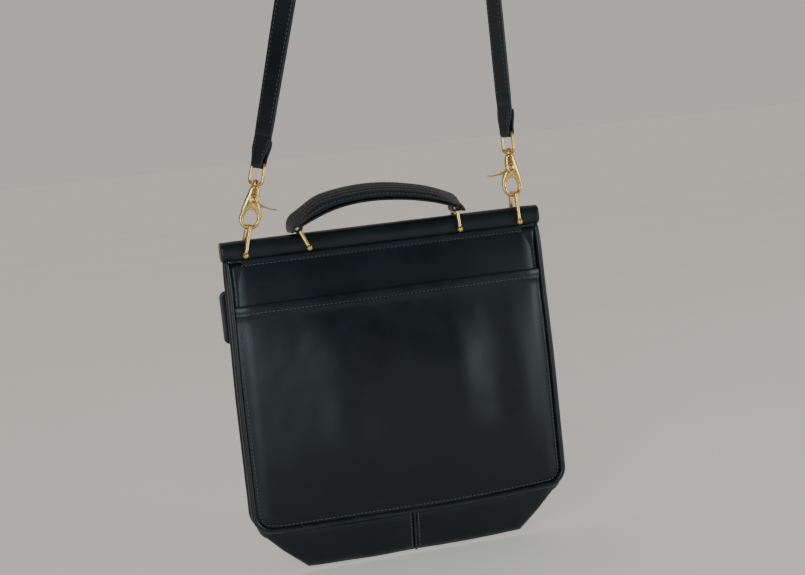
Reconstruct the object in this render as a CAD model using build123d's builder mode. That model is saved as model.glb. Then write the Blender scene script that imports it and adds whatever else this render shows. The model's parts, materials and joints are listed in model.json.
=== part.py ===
from build123d import *
from math import asin, cos, degrees, hypot, pi, radians, sin, tan
import os

# A satchel that hangs from its shoulder strap. Millimetres, +Z up, +X along the top bar.
# -Y is the back, with the slip pocket; +Y is the front, with the flap.
# The origin is the hang point, the inside top of the strap's loop.

# Overall sizes of the bag
bag_width = 280.0
bag_drop = 238.0  # from the top bar's axis to the bottom piping
gusset_width = 76.0  # the strip between the panels, lying folded
leather = 2.0
thin_leather = 1.6
layer_gap = 0.15

# Top roll
roll_half_depth = 7.9
roll_half_height = 8.75
tail_drop = 16.0

# Panels: how far the back and front stand out at each drop below the bar's axis
# (drop, at the side edges, at the middle)
back_shape = [
    (9.4, 5.6, 6.2),
    (25.0, 8.0, 8.8),
    (45.0, 8.0, 11.0),
    (125.0, 8.0, 20.0),
    (190.0, 8.0, 18.5),
    (235.0, 8.0, 10.5),
]
front_shape = [(24.0, 8.0, 16.0), (80.0, 8.0, 18.5), (150.0, 8.0, 20.0), (235.0, 8.0, 10.5)]
corner_r = 13.0
piping_r = 2.4
piping_top = 26.0
trim = 1.0  # what is cut off a panel's outline once it is bowed
pocket_drop = 45.0
front_pocket_drop = 62.0
edge_gap = 8.0  # from the middle plane to each piping's axis

# Keel: the bottom gusset folded outwards
keel_slope = 38.0  # how far its ends lean in

# Dees
dee_rod_r = 1.9
dee_leg_y = 10.6
dee_bend_r = 4.2
ball_r = 2.8
pin_r = 1.4
pin_clearance = 0.05
pin_drop = 4.0
strap_dee_x = 120.0
strap_dee_rise = 27.6
handle_dee_x = 66.0
handle_dee_rise = 18.7
strap_lean = {"left": 16.0, "right": 0.0}  # degrees from upright, towards +X
handle_lean = {"left": -22.0, "right": -4.0}
strap_turn = {"left": 52.0, "right": 70.0}  # how far each strap end is turned about its own length

# Trigger snaps, measured up from the ring's centre
ring_r = 5.6
ring_wall = 3.5
ring_gap = 0.8
snap_thick = 4.6
snap_top = 26.5
pivot_rise = 16.8
hub_r = 4.4
cheek = 1.1
cheek_gap = 0.3
lever_reach = 21.0
gate_from = 5.0
gate_to = 58.0
gate_sweep = 13.0  # degrees of ring left open below the gate, which swings in past it
neck_r = 1.6
eye_bottom = 29.4
eye_top = 46.5
eye_half = 7.25
eye_rod_r = 1.5
eye_boss = 6.6
loop_hole_r = 2.4
loop_wall = 1.9
loop_half = 5.3
tab_half = 8.5
tab_top = 70.0

# Shoulder strap
strap_width = 19.0
strap_thick = 3.2
peg_r = 40.0  # what the strap hangs over

# Handle
handle_width = 25.0
handle_base_width = 14.0
handle_rise = 35.0  # its underlayer's middle, above the bar's axis
handle_seat = 4.3  # underlayer above the dee's crossbar
base_thick = 2.2
pad_thick = 4.0
pad_width = 20.0
cover_thick = 2.5
handle_loop_clearance = 0.7
handle_loop_wall = 1.6
handle_overhang = 8.5
cover_drop = 8.0

# Flap, turnlock and tag
hinge_y = 9.2
hinge_drop = 12.6
flap_half = 134.0
flap_top = 14.0
flap_end = 118.0
flap_stand_off = 3.4
flap_corner_r = 26.0
lock_drop = 100.0
slot_half_w = 12.5
slot_half_h = 6.0
plate_rim = 4.0
plate_thick = 1.2
knob_half = 10.0
knob_half_h = 2.5
knob_clearance = 0.8
knob_stem_r = 2.4
tag_x = -125.0
tag_top = 34.0
tag_height = 45.0
tag_width = 34.0
tag_thick = 2.2
tag_gap = 0.6
lace_width = 5.0
lace_top = 17.0
rivet_r = 1.3

# Inner zip pocket
zip_half = 90.0
zip_drop = 34.0
tape_height = 20.0
inner_half = 97.0
inner_end = 160.0
slider_start = -80.0

half_width = bag_width / 2
gusset_d = edge_gap - piping_r
keel_drop = (gusset_width / 2) ** 2 - gusset_d ** 2
keel_drop = keel_drop ** 0.5 - piping_r
fold_in = ((gusset_width / 2) ** 2 - gusset_d ** 2) ** 0.5
strap_path_r = peg_r + strap_thick / 2

# Where the dees' crossbars, the snap rings and the strap's ends are, from the bar's middle
side_sign = {"left": -1, "right": 1}


def along(start, lean, distance):
    return (start[0] + distance * sin(radians(lean)), start[1] + distance * cos(radians(lean)))


pin_at = {side: (side_sign[side] * strap_dee_x, -pin_drop) for side in side_sign}
ring_rise = strap_dee_rise + ring_r - dee_rod_r - ring_gap
ring_at = {side: along(pin_at[side], strap_lean[side], ring_rise) for side in side_sign}
strap_start = {side: along(ring_at[side], strap_lean[side], tab_top) for side in side_sign}
handle_pin_at = {side: (side_sign[side] * handle_dee_x, -pin_drop) for side in side_sign}
handle_bar_at = {
    side: along(handle_pin_at[side], handle_lean[side], handle_dee_rise) for side in side_sign
}

# The strap's two sides touch the peg: its centre stands strap_path_r inside each of them
lean_l = radians(strap_lean["left"])
lean_r = radians(strap_lean["right"])
gap_x = strap_start["right"][0] - strap_start["left"][0]
gap_z = strap_start["right"][1] - strap_start["left"][1]
# distances from the centre to both lines are equal: solve for the rise above the right start
spread = sin(lean_l) * cos(lean_r) - cos(lean_l) * sin(lean_r)
offset_l = strap_path_r
rise_num = gap_x * cos(lean_l) - gap_z * sin(lean_l) - offset_l - offset_l * cos(lean_l - lean_r)
right_run = rise_num / spread
peg_x = strap_start["right"][0] + right_run * sin(lean_r) - strap_path_r * cos(lean_r)
peg_z = strap_start["right"][1] + right_run * cos(lean_r) + strap_path_r * sin(lean_r)

# The bar's middle, from the hang point
bar_x = -peg_x
bar_z = -(peg_z + peg_r)


def level(drop):
    return Plane(origin=(bar_x, 0, bar_z - drop))


def upright(y):
    return Plane(origin=(bar_x, y, bar_z), x_dir=(1, 0, 0), z_dir=(0, -1, 0))


def across(x):
    return Plane(origin=(bar_x + x, 0, bar_z), x_dir=(0, 1, 0), z_dir=(1, 0, 0))


def leaning(spot, lean, y, facing=1):
    # an upright plane at a spot, turned so that its second axis leans with the strap
    tilt = radians(lean)
    return Plane(
        origin=(bar_x + spot[0], y, bar_z + spot[1]),
        x_dir=(facing * cos(tilt), 0, -facing * sin(tilt)),
        z_dir=(0, -facing, 0),
    )


def edge_on(spot, lean, shift=0.0):
    # the plane through a spot that holds +Y and the leaning axis
    tilt = radians(lean)
    normal = (cos(tilt), 0, -sin(tilt))
    origin = (bar_x + spot[0] + shift * normal[0], 0, bar_z + spot[1] + shift * normal[2])
    return Plane(origin=origin, x_dir=(0, 1, 0), z_dir=normal)


def strap_axes(side):
    # the ring's centre, the strap's width direction and its thickness direction
    tilt = radians(strap_lean[side])
    turn = radians(strap_turn[side])
    centre = Vector(bar_x + ring_at[side][0], 0, bar_z + ring_at[side][1])
    wide = Vector(cos(tilt) * cos(turn), -sin(turn), -sin(tilt) * cos(turn))
    thick = Vector(sin(turn) * cos(tilt), cos(turn), -sin(turn) * sin(tilt))
    return centre, wide, thick


def faced(side, shift):
    # the strap end's broad face, shifted along its thickness
    centre, wide, thick = strap_axes(side)
    return Plane(origin=centre + thick * shift, x_dir=wide, z_dir=-thick)


def sideways(side, shift):
    # the plane across the strap end's width
    centre, wide, thick = strap_axes(side)
    return Plane(origin=centre + wide * shift, x_dir=thick, z_dir=wide)


def stand_out(shape, drop):
    # edge and middle distances at any drop, in line between the listed ones
    for (d0, e0, m0), (d1, e1, m1) in zip(shape, shape[1:]):
        if drop <= d1:
            t = max(drop - d0, 0) / (d1 - d0)
            return e0 + t * (e1 - e0), m0 + t * (m1 - m0)
    return shape[-1][1], shape[-1][2]


def bowed_at(shape, drop, x, half):
    edge, middle = stand_out(shape, drop)
    return edge + (middle - edge) * (1 - (x / half) ** 2)


def bowed_face(side, half, edge, middle, thick):
    # a thin bowed strip across the bag; side is -1 at the back and 1 at the front
    with BuildLine() as outline:
        ThreePointArc((-half, side * edge), (0, side * middle), (half, side * edge))
        Line((half, side * edge), (half, side * (edge - thick)))
        ThreePointArc(
            (half, side * (edge - thick)), (0, side * (middle - thick)), (-half, side * (edge - thick))
        )
        Line((-half, side * (edge - thick)), (-half, side * edge))
    make_face(outline.edges())


def drops_between(shape, top, end):
    return [top] + [d for d, _, _ in shape if top + 1 < d < end - 1] + [end]


panel_half = half_width - 2.0 - piping_r - layer_gap
pipe_x = half_width - 2.0
panel_end = bag_drop - piping_r - layer_gap

os.makedirs("parts", exist_ok=True)
made = []


def keep(part, name):
    part.label = name
    export_step(part, f"parts/{name}.step")
    made.append(name)


# Stiffening bar inside the roll, bored for the dees' pins
all_pins = [pin_at["left"], pin_at["right"], handle_pin_at["left"], handle_pin_at["right"]]
with BuildPart() as top_bar:
    with BuildSketch(across(-half_width + 3)):
        Ellipse(roll_half_depth - thin_leather - 0.1, roll_half_height - thin_leather - 0.1)
    extrude(amount=bag_width - 6)
    with BuildSketch(upright(roll_half_depth)):
        with Locations(*all_pins):
            Circle(pin_r + pin_clearance)
    extrude(amount=2 * roll_half_depth, mode=Mode.SUBTRACT)
keep(top_bar.part, "top_bar")

# Leather wrapped round the bar, its tail stitched inside the back panel
with BuildPart() as top_roll:
    with BuildSketch(across(-half_width)):
        Ellipse(roll_half_depth, roll_half_height)
        Ellipse(roll_half_depth - thin_leather, roll_half_height - thin_leather, mode=Mode.SUBTRACT)
    extrude(amount=bag_width)
    for end in (-half_width, half_width - 2.9):
        with BuildSketch(across(end)):
            Ellipse(roll_half_depth - 0.5, roll_half_height - 0.5)
        extrude(amount=2.9)
    with BuildSketch(across(-panel_half)):
        with Locations((-2.6, -(tail_drop + roll_half_height - 0.9) / 2)):
            Rectangle(thin_leather, tail_drop - roll_half_height + 0.9)
    extrude(amount=2 * panel_half)
    with BuildSketch(upright(roll_half_depth + 1)):
        with Locations(*all_pins):
            Circle(pin_r + 0.2)
    extrude(amount=2 * roll_half_depth + 2, mode=Mode.SUBTRACT)
keep(top_roll.part, "top_roll")


def bowed_panel(side, shape, half, top, end, lift, thick):
    # a panel lofted through its bowed sections, its lower corners rounded
    with BuildPart() as panel:
        for drop in drops_between(shape, top, end + trim):
            edge, middle = stand_out(shape, drop)
            with BuildSketch(level(drop)):
                bowed_face(side, half + trim, edge + lift, middle + lift, thick)
        loft(ruled=True)
        with BuildSketch(upright(40)):
            with BuildLine():
                FilletPolyline(
                    (-half, -top + 1), (-half, -end), (half, -end), (half, -top + 1), radius=corner_r
                )
                Line((half, -top + 1), (-half, -top + 1))
            make_face()
        extrude(amount=80, mode=Mode.INTERSECT)
    return panel.part


keep(bowed_panel(-1, back_shape, panel_half, back_shape[0][0], panel_end, 0, leather), "back_panel")
pocket_lift = leather + layer_gap
keep(bowed_panel(-1, back_shape, panel_half, pocket_drop, panel_end, pocket_lift, leather), "back_pocket")
keep(bowed_panel(1, front_shape, panel_half, front_shape[0][0], panel_end, 0, leather), "front_panel")
front_pocket = bowed_panel(
    1, front_shape, panel_half, front_pocket_drop, panel_end, pocket_lift, thin_leather
)

# Piping round both panels' edges
for name, y in (("back_piping", -edge_gap), ("front_piping", edge_gap)):
    with BuildPart() as piping:
        with BuildLine(upright(y)) as pipe_line:
            FilletPolyline(
                (-pipe_x, -piping_top),
                (-pipe_x, -bag_drop),
                (pipe_x, -bag_drop),
                (pipe_x, -piping_top),
                radius=corner_r + piping_r,
            )
        with BuildSketch(Plane(origin=pipe_line.line @ 0, z_dir=pipe_line.line % 0)):
            Circle(piping_r)
        sweep(path=pipe_line.line)
    keep(piping.part, name)

# Gusset halves: each side strip folds in, turns the corner and folds out as half of the keel
gusset_top = piping_top
gusset_end = bag_drop + 0.2
fold_x = pipe_x - fold_in
for side, sign in side_sign.items():
    with BuildPart() as gusset:
        edge_x = sign * pipe_x
        apex_x = sign * fold_x
        with BuildSketch(level(gusset_end)):
            Polygon(
                (edge_x, gusset_d),
                (apex_x, 1.2),
                (apex_x, -1.2),
                (edge_x, -gusset_d),
                (edge_x, -gusset_d + thin_leather),
                (apex_x + sign * 4, 0),
                (edge_x, gusset_d - thin_leather),
                align=None,
            )
        extrude(amount=gusset_end - gusset_top)
        foot_x = edge_x - sign * keel_slope
        for wall, mode in ((0, Mode.ADD), (thin_leather, Mode.SUBTRACT)):
            seam_x = sign * (0.05 + wall)
            with BuildSketch(level(gusset_end)) as rim:
                inset = sign * wall * 1.4
                Polygon(
                    (seam_x, gusset_d - wall),
                    (edge_x - inset, gusset_d - wall),
                    (edge_x - inset, -gusset_d + wall),
                    (seam_x, -gusset_d + wall),
                    align=None,
                )
            with BuildSketch(level(gusset_end + keel_drop - wall)) as foot:
                inset = sign * wall * 0.4
                foot_y = 1.9 - wall * 0.7
                Polygon(
                    (seam_x, foot_y),
                    (foot_x - inset, foot_y),
                    (foot_x - inset, -foot_y),
                    (seam_x, -foot_y),
                    align=None,
                )
            loft(sections=[rim.sketch.faces()[0], foot.sketch.faces()[0]], ruled=True, mode=mode)
        with BuildSketch(level(gusset_end)):
            Polygon(
                (edge_x, gusset_d), (apex_x, 1.2), (apex_x, -1.2), (edge_x, -gusset_d), align=None
            )
        extrude(amount=thin_leather)
    keep(gusset.part, f"{side}_gusset")

# Inner zip pocket behind the mouth
inner_y = -1.2
with BuildPart() as inner_pocket:
    with BuildSketch(upright(inner_y)):
        with Locations((0, -(tail_drop + 0.1 + inner_end) / 2)):
            Rectangle(2 * inner_half, inner_end - tail_drop - 0.1)
    extrude(amount=2.0)
    fillet(inner_pocket.edges().filter_by(Axis.Y).group_by(Axis.Z)[0], 9)
keep(inner_pocket.part, "inner_pocket")

tape_y = inner_y + layer_gap
tape_thick = 0.9
teeth_h = 1.5
teeth_thick = 1.0
with BuildPart() as zip_tape:
    with BuildSketch(upright(tape_y + tape_thick)):
        with Locations((0, -zip_drop)):
            Rectangle(2 * zip_half, tape_height)
    extrude(amount=tape_thick)
    with BuildSketch(upright(tape_y + tape_thick + teeth_thick)):
        with Locations((0, -zip_drop)):
            Rectangle(2 * zip_half - 6, 2 * teeth_h)
    extrude(amount=teeth_thick)
keep(zip_tape.part, "zip_tape")

slider_y = tape_y + tape_thick + teeth_thick + 0.3
with BuildPart() as zip_slider:
    with BuildSketch(upright(slider_y + 1.4)):
        with Locations((slider_start, -zip_drop)):
            RectangleRounded(7, 9, 2)
    extrude(amount=1.4)
    with BuildSketch(upright(slider_y + 2.4)):
        with Locations((slider_start, -zip_drop - 9)):
            RectangleRounded(5, 22, 2)
        with Locations((slider_start, -zip_drop - 16)):
            Circle(1.2, mode=Mode.SUBTRACT)
    extrude(amount=1.2)
keep(zip_slider.part, "zip_slider")

# Dees: a rod bent over the roll, a ball at each foot, and the pin that joins the balls


def make_dee(name, spot, lean, rise):
    with BuildPart() as dee:
        with BuildLine(edge_on(spot, lean)) as dee_line:
            FilletPolyline(
                (-dee_leg_y, 0), (-dee_leg_y, rise), (dee_leg_y, rise), (dee_leg_y, 0), radius=dee_bend_r
            )
        with BuildSketch(Plane(origin=dee_line.line @ 0, z_dir=dee_line.line % 0)):
            Circle(dee_rod_r)
        sweep(path=dee_line.line)
        for y in (-dee_leg_y, dee_leg_y):
            with Locations((bar_x + spot[0], y, bar_z + spot[1])):
                Sphere(ball_r)
        with BuildSketch(leaning(spot, 0, dee_leg_y + 1.6)):
            Circle(pin_r)
        extrude(amount=2 * dee_leg_y + 3.2, mode=Mode.SUBTRACT)
    keep(dee.part, name)
    with BuildPart() as pin:
        with BuildSketch(leaning(spot, 0, dee_leg_y + 1.5)):
            Circle(pin_r)
        extrude(amount=2 * dee_leg_y + 3.0)
    keep(pin.part, name + "_pin")


for side in side_sign:
    make_dee(f"{side}_strap_dee", pin_at[side], strap_lean[side], strap_dee_rise)
    make_dee(f"{side}_handle_dee", handle_pin_at[side], handle_lean[side], handle_dee_rise)

# Handle: an arched underlayer that loops round both dees, a pad, and a wider cover
left_end = handle_bar_at["left"][0], handle_bar_at["left"][1] + handle_seat
right_end = handle_bar_at["right"][0], handle_bar_at["right"][1] + handle_seat
arch_mid = ((left_end[0] + right_end[0]) / 2, handle_rise)
half_chord = hypot(right_end[0] - left_end[0], right_end[1] - left_end[1]) / 2
arch_rise = handle_rise - (left_end[1] + right_end[1]) / 2
arch_r = (half_chord ** 2 + arch_rise ** 2) / (2 * arch_rise)
arch_tilt = asin((right_end[1] - left_end[1]) / (2 * half_chord))
arch_centre = (arch_mid[0] + arch_r * sin(arch_tilt), arch_mid[1] - arch_r * cos(arch_tilt))
arch_half = asin(half_chord / arch_r)


def arch_point(radius, angle):
    turn = angle - arch_tilt
    return (arch_centre[0] + radius * sin(turn), arch_centre[1] + radius * cos(turn))


def arch_band(inner, outer, half_angle):
    # the closed outline between two arcs about the arch's centre
    r0 = arch_r + inner
    r1 = arch_r + outer
    with BuildLine() as outline:
        ThreePointArc(arch_point(r0, -half_angle), arch_point(r0, 0), arch_point(r0, half_angle))
        Line(arch_point(r0, half_angle), arch_point(r1, half_angle))
        ThreePointArc(arch_point(r1, half_angle), arch_point(r1, 0), arch_point(r1, -half_angle))
        Line(arch_point(r1, -half_angle), arch_point(r0, -half_angle))
    make_face(outline.edges())


loop_r = dee_rod_r + handle_loop_clearance
with BuildPart() as handle_base:
    with BuildSketch(upright(handle_base_width / 2)):
        arch_band(-base_thick / 2, base_thick / 2, arch_half)
        with Locations(handle_bar_at["left"], handle_bar_at["right"]):
            Circle(loop_r + handle_loop_wall)
        with Locations(handle_bar_at["left"], handle_bar_at["right"]):
            Circle(loop_r, mode=Mode.SUBTRACT)
    extrude(amount=handle_base_width)
keep(handle_base.part, "handle_base")

pad_from = base_thick / 2 + 0.1
with BuildPart() as handle_pad:
    with BuildSketch(upright(pad_width / 2)):
        arch_band(pad_from, pad_from + pad_thick, arch_half)
    extrude(amount=pad_width)
keep(handle_pad.part, "handle_pad")

cover_from = pad_from + pad_thick + 0.1
cover_half = arch_half + handle_overhang / arch_r
with BuildPart() as handle_cover:
    with BuildSketch(upright(handle_width / 2)):
        arch_band(cover_from, cover_from + cover_thick, cover_half)
        for angle in (-cover_half, cover_half):
            corner = arch_point(arch_r + cover_from + cover_thick / 2, angle)
            inward = cover_thick / 2 if angle < 0 else -cover_thick / 2
            with Locations((corner[0] + inward, corner[1] - cover_drop / 2)):
                Rectangle(cover_thick, cover_drop)
    extrude(amount=handle_width)
keep(handle_cover.part, "handle_cover")

# Snaps: a hook body, the trigger that closes its ring, the trigger's pin and the swivel eye
for side, sign in side_sign.items():
    spot = ring_at[side]
    lean = strap_lean[side]
    inward = -sign  # the trigger points to the bag's middle

    def face(y):
        return leaning(spot, lean, y)

    ring_out = ring_r + ring_wall
    gap_from = radians(gate_from - gate_sweep)
    with BuildPart() as snap:
        with BuildSketch(face(snap_thick / 2)):
            Circle(ring_out)
            with BuildLine():
                Polyline(
                    (-inward * ring_out * 0.95, 2.4),
                    (-inward * 4.6, snap_top - 9),
                    (-inward * 4.2, snap_top),
                    (inward * 4.2, snap_top),
                    (inward * 5.0, snap_top - 10),
                    (inward * 2.0, ring_r + 1.5),
                    close=True,
                )
            make_face()
            Circle(ring_r, mode=Mode.SUBTRACT)
            with BuildLine():
                Polyline(
                    (0, 0),
                    (inward * 14 * cos(gap_from), 14 * sin(gap_from)),
                    (inward * 14, 14 * tan(radians(50)) - 3.0),
                    (inward * 6.6, 12.6),
                    (inward * 0.6, ring_r + 2.0),
                    close=True,
                )
            make_face(mode=Mode.SUBTRACT)
        extrude(amount=snap_thick)
        with BuildSketch(face(2 * snap_thick)):
            with Locations((inward * 0.4, pivot_rise)):
                Circle(1.25)
        extrude(amount=4 * snap_thick, mode=Mode.SUBTRACT)
    with BuildPart(Plane(origin=(bar_x + spot[0], 0, bar_z + spot[1]),
                         z_dir=(sin(radians(lean)), 0, cos(radians(lean))))) as snap_neck:
        with Locations((0, 0, snap_top - 2)):
            Cylinder(neck_r, eye_bottom - snap_top + 4.6, align=(Align.CENTER, Align.CENTER, Align.MIN))
        with Locations((0, 0, eye_bottom + eye_rod_r + 0.3)):
            Cylinder(neck_r + 1.4, 1.6, align=(Align.CENTER, Align.CENTER, Align.MIN))
        with Locations((0, 0, snap_top)):
            Cylinder(4.0, 1.1, align=(Align.CENTER, Align.CENTER, Align.MIN))
    keep(snap.part + snap_neck.part, f"{side}_snap")

    with BuildPart() as trigger:
        pivot = (inward * 0.4, pivot_rise)
        reach = lever_reach
        for y0 in (-snap_thick / 2 - cheek_gap, snap_thick / 2 + cheek_gap + cheek):
            with BuildSketch(face(y0)):
                with Locations(pivot):
                    Circle(hub_r)
                with BuildLine():
                    Polyline(
                        (pivot[0], pivot[1] + 3.0),
                        (pivot[0] + inward * 8.6, pivot[1] - 4.2),
                        (pivot[0] + inward * 8.6, pivot[1] - 8.0),
                        (pivot[0] + inward * 3.0, pivot[1] - 6.0),
                        (pivot[0] - inward * 2.0, pivot[1] - 3.6),
                        close=True,
                    )
                make_face()
                with Locations(pivot):
                    Circle(1.2, mode=Mode.SUBTRACT)
            extrude(amount=cheek)
        bridge = snap_thick + 2 * cheek_gap + 2 * cheek
        with BuildSketch(face(bridge / 2)):
            with BuildLine():
                Polyline(
                    (inward * (0.4 + 7.0), pivot_rise - 3.1),
                    (inward * reach, pivot_rise - 5.0),
                    (inward * reach, pivot_rise - 6.4),
                    (inward * (0.4 + 9.0), pivot_rise - 6.2),
                    (inward * (ring_out + 0.1), gate_from + 2.4),
                    (inward * ring_out, ring_out * sin(radians(gate_from))),
                    (inward * ring_r * 1.03, ring_r * sin(radians(gate_from))),
                    (inward * ring_r * cos(radians(30)) * 1.03, ring_r * sin(radians(30)) * 1.03),
                    (inward * ring_r * cos(radians(gate_to)) * 1.25, ring_r * sin(radians(gate_to)) * 1.25),
                    (inward * 6.9, pivot_rise - 6.4),
                    close=True,
                )
            make_face()
        extrude(amount=bridge)
    keep(trigger.part, f"{side}_trigger")

    with BuildPart() as trigger_pin:
        with BuildSketch(face(snap_thick / 2 + cheek_gap + cheek)):
            with Locations(pivot):
                Circle(1.15)
        extrude(amount=snap_thick + 2 * (cheek_gap + cheek))
    keep(trigger_pin.part, f"{side}_trigger_pin")

    with BuildPart() as eye:
        with BuildLine(faced(side, 0)) as eye_line:
            FilletPolyline(
                (eye_half, eye_bottom),
                (eye_half, eye_top),
                (-eye_half, eye_top),
                (-eye_half, eye_bottom),
                radius=2.2,
                close=True,
            )
        with BuildSketch(Plane(origin=eye_line.line @ 0, z_dir=eye_line.line % 0)):
            Circle(eye_rod_r)
        sweep(path=eye_line.line)
        with BuildSketch(sideways(side, -eye_boss / 2)):
            with Locations((0, eye_bottom)):
                Rectangle(eye_boss, 2 * eye_rod_r - 0.4)
        extrude(amount=eye_boss)
        bore = Plane(
            origin=(bar_x + spot[0], 0, bar_z + spot[1]), z_dir=(sin(radians(lean)), 0, cos(radians(lean)))
        )
        with BuildSketch(bore.offset(eye_bottom - 3)):
            Circle(neck_r + 0.06)
        extrude(amount=6, mode=Mode.SUBTRACT)
    keep(eye.part, f"{side}_eye")

    # The strap's folded and stitched end, looped round the eye's bar
    with BuildPart() as strap_end:
        with BuildSketch(faced(side, loop_hole_r + loop_wall)):
            with BuildLine():
                Polyline(
                    (-loop_half, eye_top - loop_hole_r - loop_wall),
                    (loop_half, eye_top - loop_hole_r - loop_wall),
                    (loop_half, eye_top + 4),
                    (tab_half, eye_top + 11),
                    (tab_half, tab_top),
                    (-tab_half, tab_top),
                    (-tab_half, eye_top + 11),
                    (-loop_half, eye_top + 4),
                    close=True,
                )
            make_face()
        extrude(amount=2 * (loop_hole_r + loop_wall))
        with BuildSketch(sideways(side, -20)):
            with Locations((0, eye_top)):
                Circle(loop_hole_r + loop_wall)
            with Locations((0, (eye_top + tab_top) / 2)):
                Rectangle(2 * (loop_hole_r + loop_wall) - 1.2, tab_top - eye_top)
        extrude(amount=40, mode=Mode.INTERSECT)
        with BuildSketch(sideways(side, -20)):
            with Locations((0, eye_top)):
                Circle(loop_hole_r)
        extrude(amount=40, mode=Mode.SUBTRACT)
    keep(strap_end.part, f"{side}_strap_end")

# Shoulder strap, as a plain tube of the flat strap's own section area
strap_tube_r = (strap_width * strap_thick / pi) ** 0.5
left_foot = strap_start["left"]
right_foot = strap_start["right"]
wrap_turn = 180 - (strap_lean["left"] - strap_lean["right"])
corner_turn = wrap_turn / 3
corner_reach = strap_path_r / cos(radians(corner_turn / 2))
strap_corners = []
for index in range(3):
    bearing = radians(180 + strap_lean["left"] * -1 - corner_turn * (index + 0.5))
    strap_corners.append((peg_x + corner_reach * cos(bearing), peg_z + corner_reach * sin(bearing)))
strap_route = [left_foot] + strap_corners + [right_foot]
with BuildPart() as shoulder_strap:
    with BuildLine(upright(0)) as strap_line:
        FilletPolyline(*strap_route, radius=strap_path_r - 0.6)
    with BuildSketch(Plane(origin=strap_line.line @ 0, z_dir=strap_line.line % 0)):
        Circle(strap_tube_r)
    sweep(path=strap_line.line)
keep(shoulder_strap.part, "shoulder_strap")
print("strap route, from the hang point:")
for x, z in strap_route:
    print(f"  ({x + bar_x:.1f}, {z + bar_z:.1f})")
strap_length = sum(edge.length for edge in strap_line.edges())
print(f"strap length {strap_length:.0f}, arc radius {strap_path_r - 0.6:.1f}")
tube_share = shoulder_strap.part.volume / (strap_length * pi * strap_tube_r ** 2)
print(f"tube volume over section times length {tube_share:.4f}")

# Front pocket, bored for the turnlock's stem
front_y = bowed_at(front_shape, lock_drop, 0, panel_half) + pocket_lift
base_y = front_y + 0.1
with BuildPart() as front_pocket_cut:
    add(front_pocket)
    with BuildSketch(upright(front_y + 5)):
        with Locations((0, -lock_drop)):
            Circle(knob_stem_r + 0.3)
    extrude(amount=7, mode=Mode.SUBTRACT)
keep(front_pocket_cut.part, "front_pocket")

# Turnlock: a base plate on the pocket, and the knob that turns in it
base_thick_lock = 1.2
with BuildPart() as turnlock_base:
    with BuildSketch(upright(base_y + 0.5 + base_thick_lock)):
        with Locations((0, -lock_drop)):
            Ellipse(9.5, 5.2)
            Circle(knob_stem_r + 0.06, mode=Mode.SUBTRACT)
    extrude(amount=base_thick_lock)
keep(turnlock_base.part, "turnlock_base")

# Flap: bowed over the front pocket, with an oval slot that passes over the knob
flap_inner = pocket_lift + flap_stand_off
flap_y = bowed_at(front_shape, lock_drop, 0, flap_half) + flap_inner + leather


def flap_section(drop):
    edge, middle = stand_out(front_shape, drop)
    if drop <= flap_top:
        return hinge_y + leather + 0.6, hinge_y + leather + 2.8
    return edge + flap_inner + leather, middle + flap_inner + leather


with BuildPart() as flap:
    for drop in (flap_top, front_shape[0][0] + 2, front_shape[1][0], flap_end + trim):
        edge, middle = flap_section(drop)
        with BuildSketch(level(drop)):
            bowed_face(1, flap_half + trim, edge, middle, leather)
    loft(ruled=True)
    with BuildSketch(upright(60)):
        with BuildLine():
            FilletPolyline(
                (-flap_half, -flap_top + 1),
                (-flap_half, -flap_end),
                (flap_half, -flap_end),
                (flap_half, -flap_top + 1),
                radius=flap_corner_r,
            )
            Line((flap_half, -flap_top + 1), (-flap_half, -flap_top + 1))
        make_face()
    extrude(amount=80, mode=Mode.INTERSECT)
    with BuildSketch(upright(60)):
        with Locations((0, -lock_drop)):
            SlotOverall(2 * slot_half_w, 2 * slot_half_h)
        with Locations((tag_x, -lace_top - 3)):
            Circle(rivet_r + 0.05)
    extrude(amount=60, mode=Mode.SUBTRACT)
keep(flap.part, "flap")

plate_y = flap_y + 0.35
with BuildPart() as flap_plate:
    with BuildSketch(upright(plate_y + plate_thick)):
        with Locations((0, -lock_drop)):
            SlotOverall(2 * (slot_half_w + plate_rim), 2 * (slot_half_h + plate_rim))
            SlotOverall(2 * slot_half_w, 2 * slot_half_h, mode=Mode.SUBTRACT)
    extrude(amount=plate_thick)
keep(flap_plate.part, "flap_plate")

knob_y = plate_y + plate_thick + knob_clearance
with BuildPart() as turnlock_knob:
    with BuildSketch(upright(knob_y)):
        with Locations((0, -lock_drop)):
            Circle(knob_stem_r)
    extrude(amount=knob_y - base_y - 0.2)
    with BuildSketch(upright(knob_y + 4.0)):
        with Locations((0, -lock_drop)):
            SlotOverall(2 * knob_half, 2 * knob_half_h)
    extrude(amount=4.0)
    fillet(turnlock_knob.faces().sort_by(Axis.Y)[-1].edges(), 1.0)
keep(turnlock_knob.part, "turnlock_knob")

# The strip that joins the flap to the roll's tail
with BuildPart() as flap_root:
    root_from = -2.6 + thin_leather / 2 + 0.1
    with BuildSketch(across(-flap_half)):
        with Locations(((root_from + hinge_y) / 2, -hinge_drop + 1.3)):
            Rectangle(hinge_y - root_from, leather)
    extrude(amount=2 * flap_half)
keep(flap_root.part, "flap_root")

# Tag on its lace, riveted to the flap
tag_low_x = abs(tag_x) - tag_width / 2
tag_seat = max(
    bowed_at(front_shape, drop, tag_low_x, flap_half) for drop in (tag_top, tag_top + tag_height)
)
tag_y = tag_seat + flap_inner + leather + tag_gap
with BuildPart() as hang_tag:
    with BuildSketch(upright(tag_y + tag_thick)):
        with Locations((tag_x, -tag_top - tag_height / 2)):
            RectangleRounded(tag_width, tag_height, 4)
    extrude(amount=tag_thick)
keep(hang_tag.part, "hang_tag")

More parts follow.
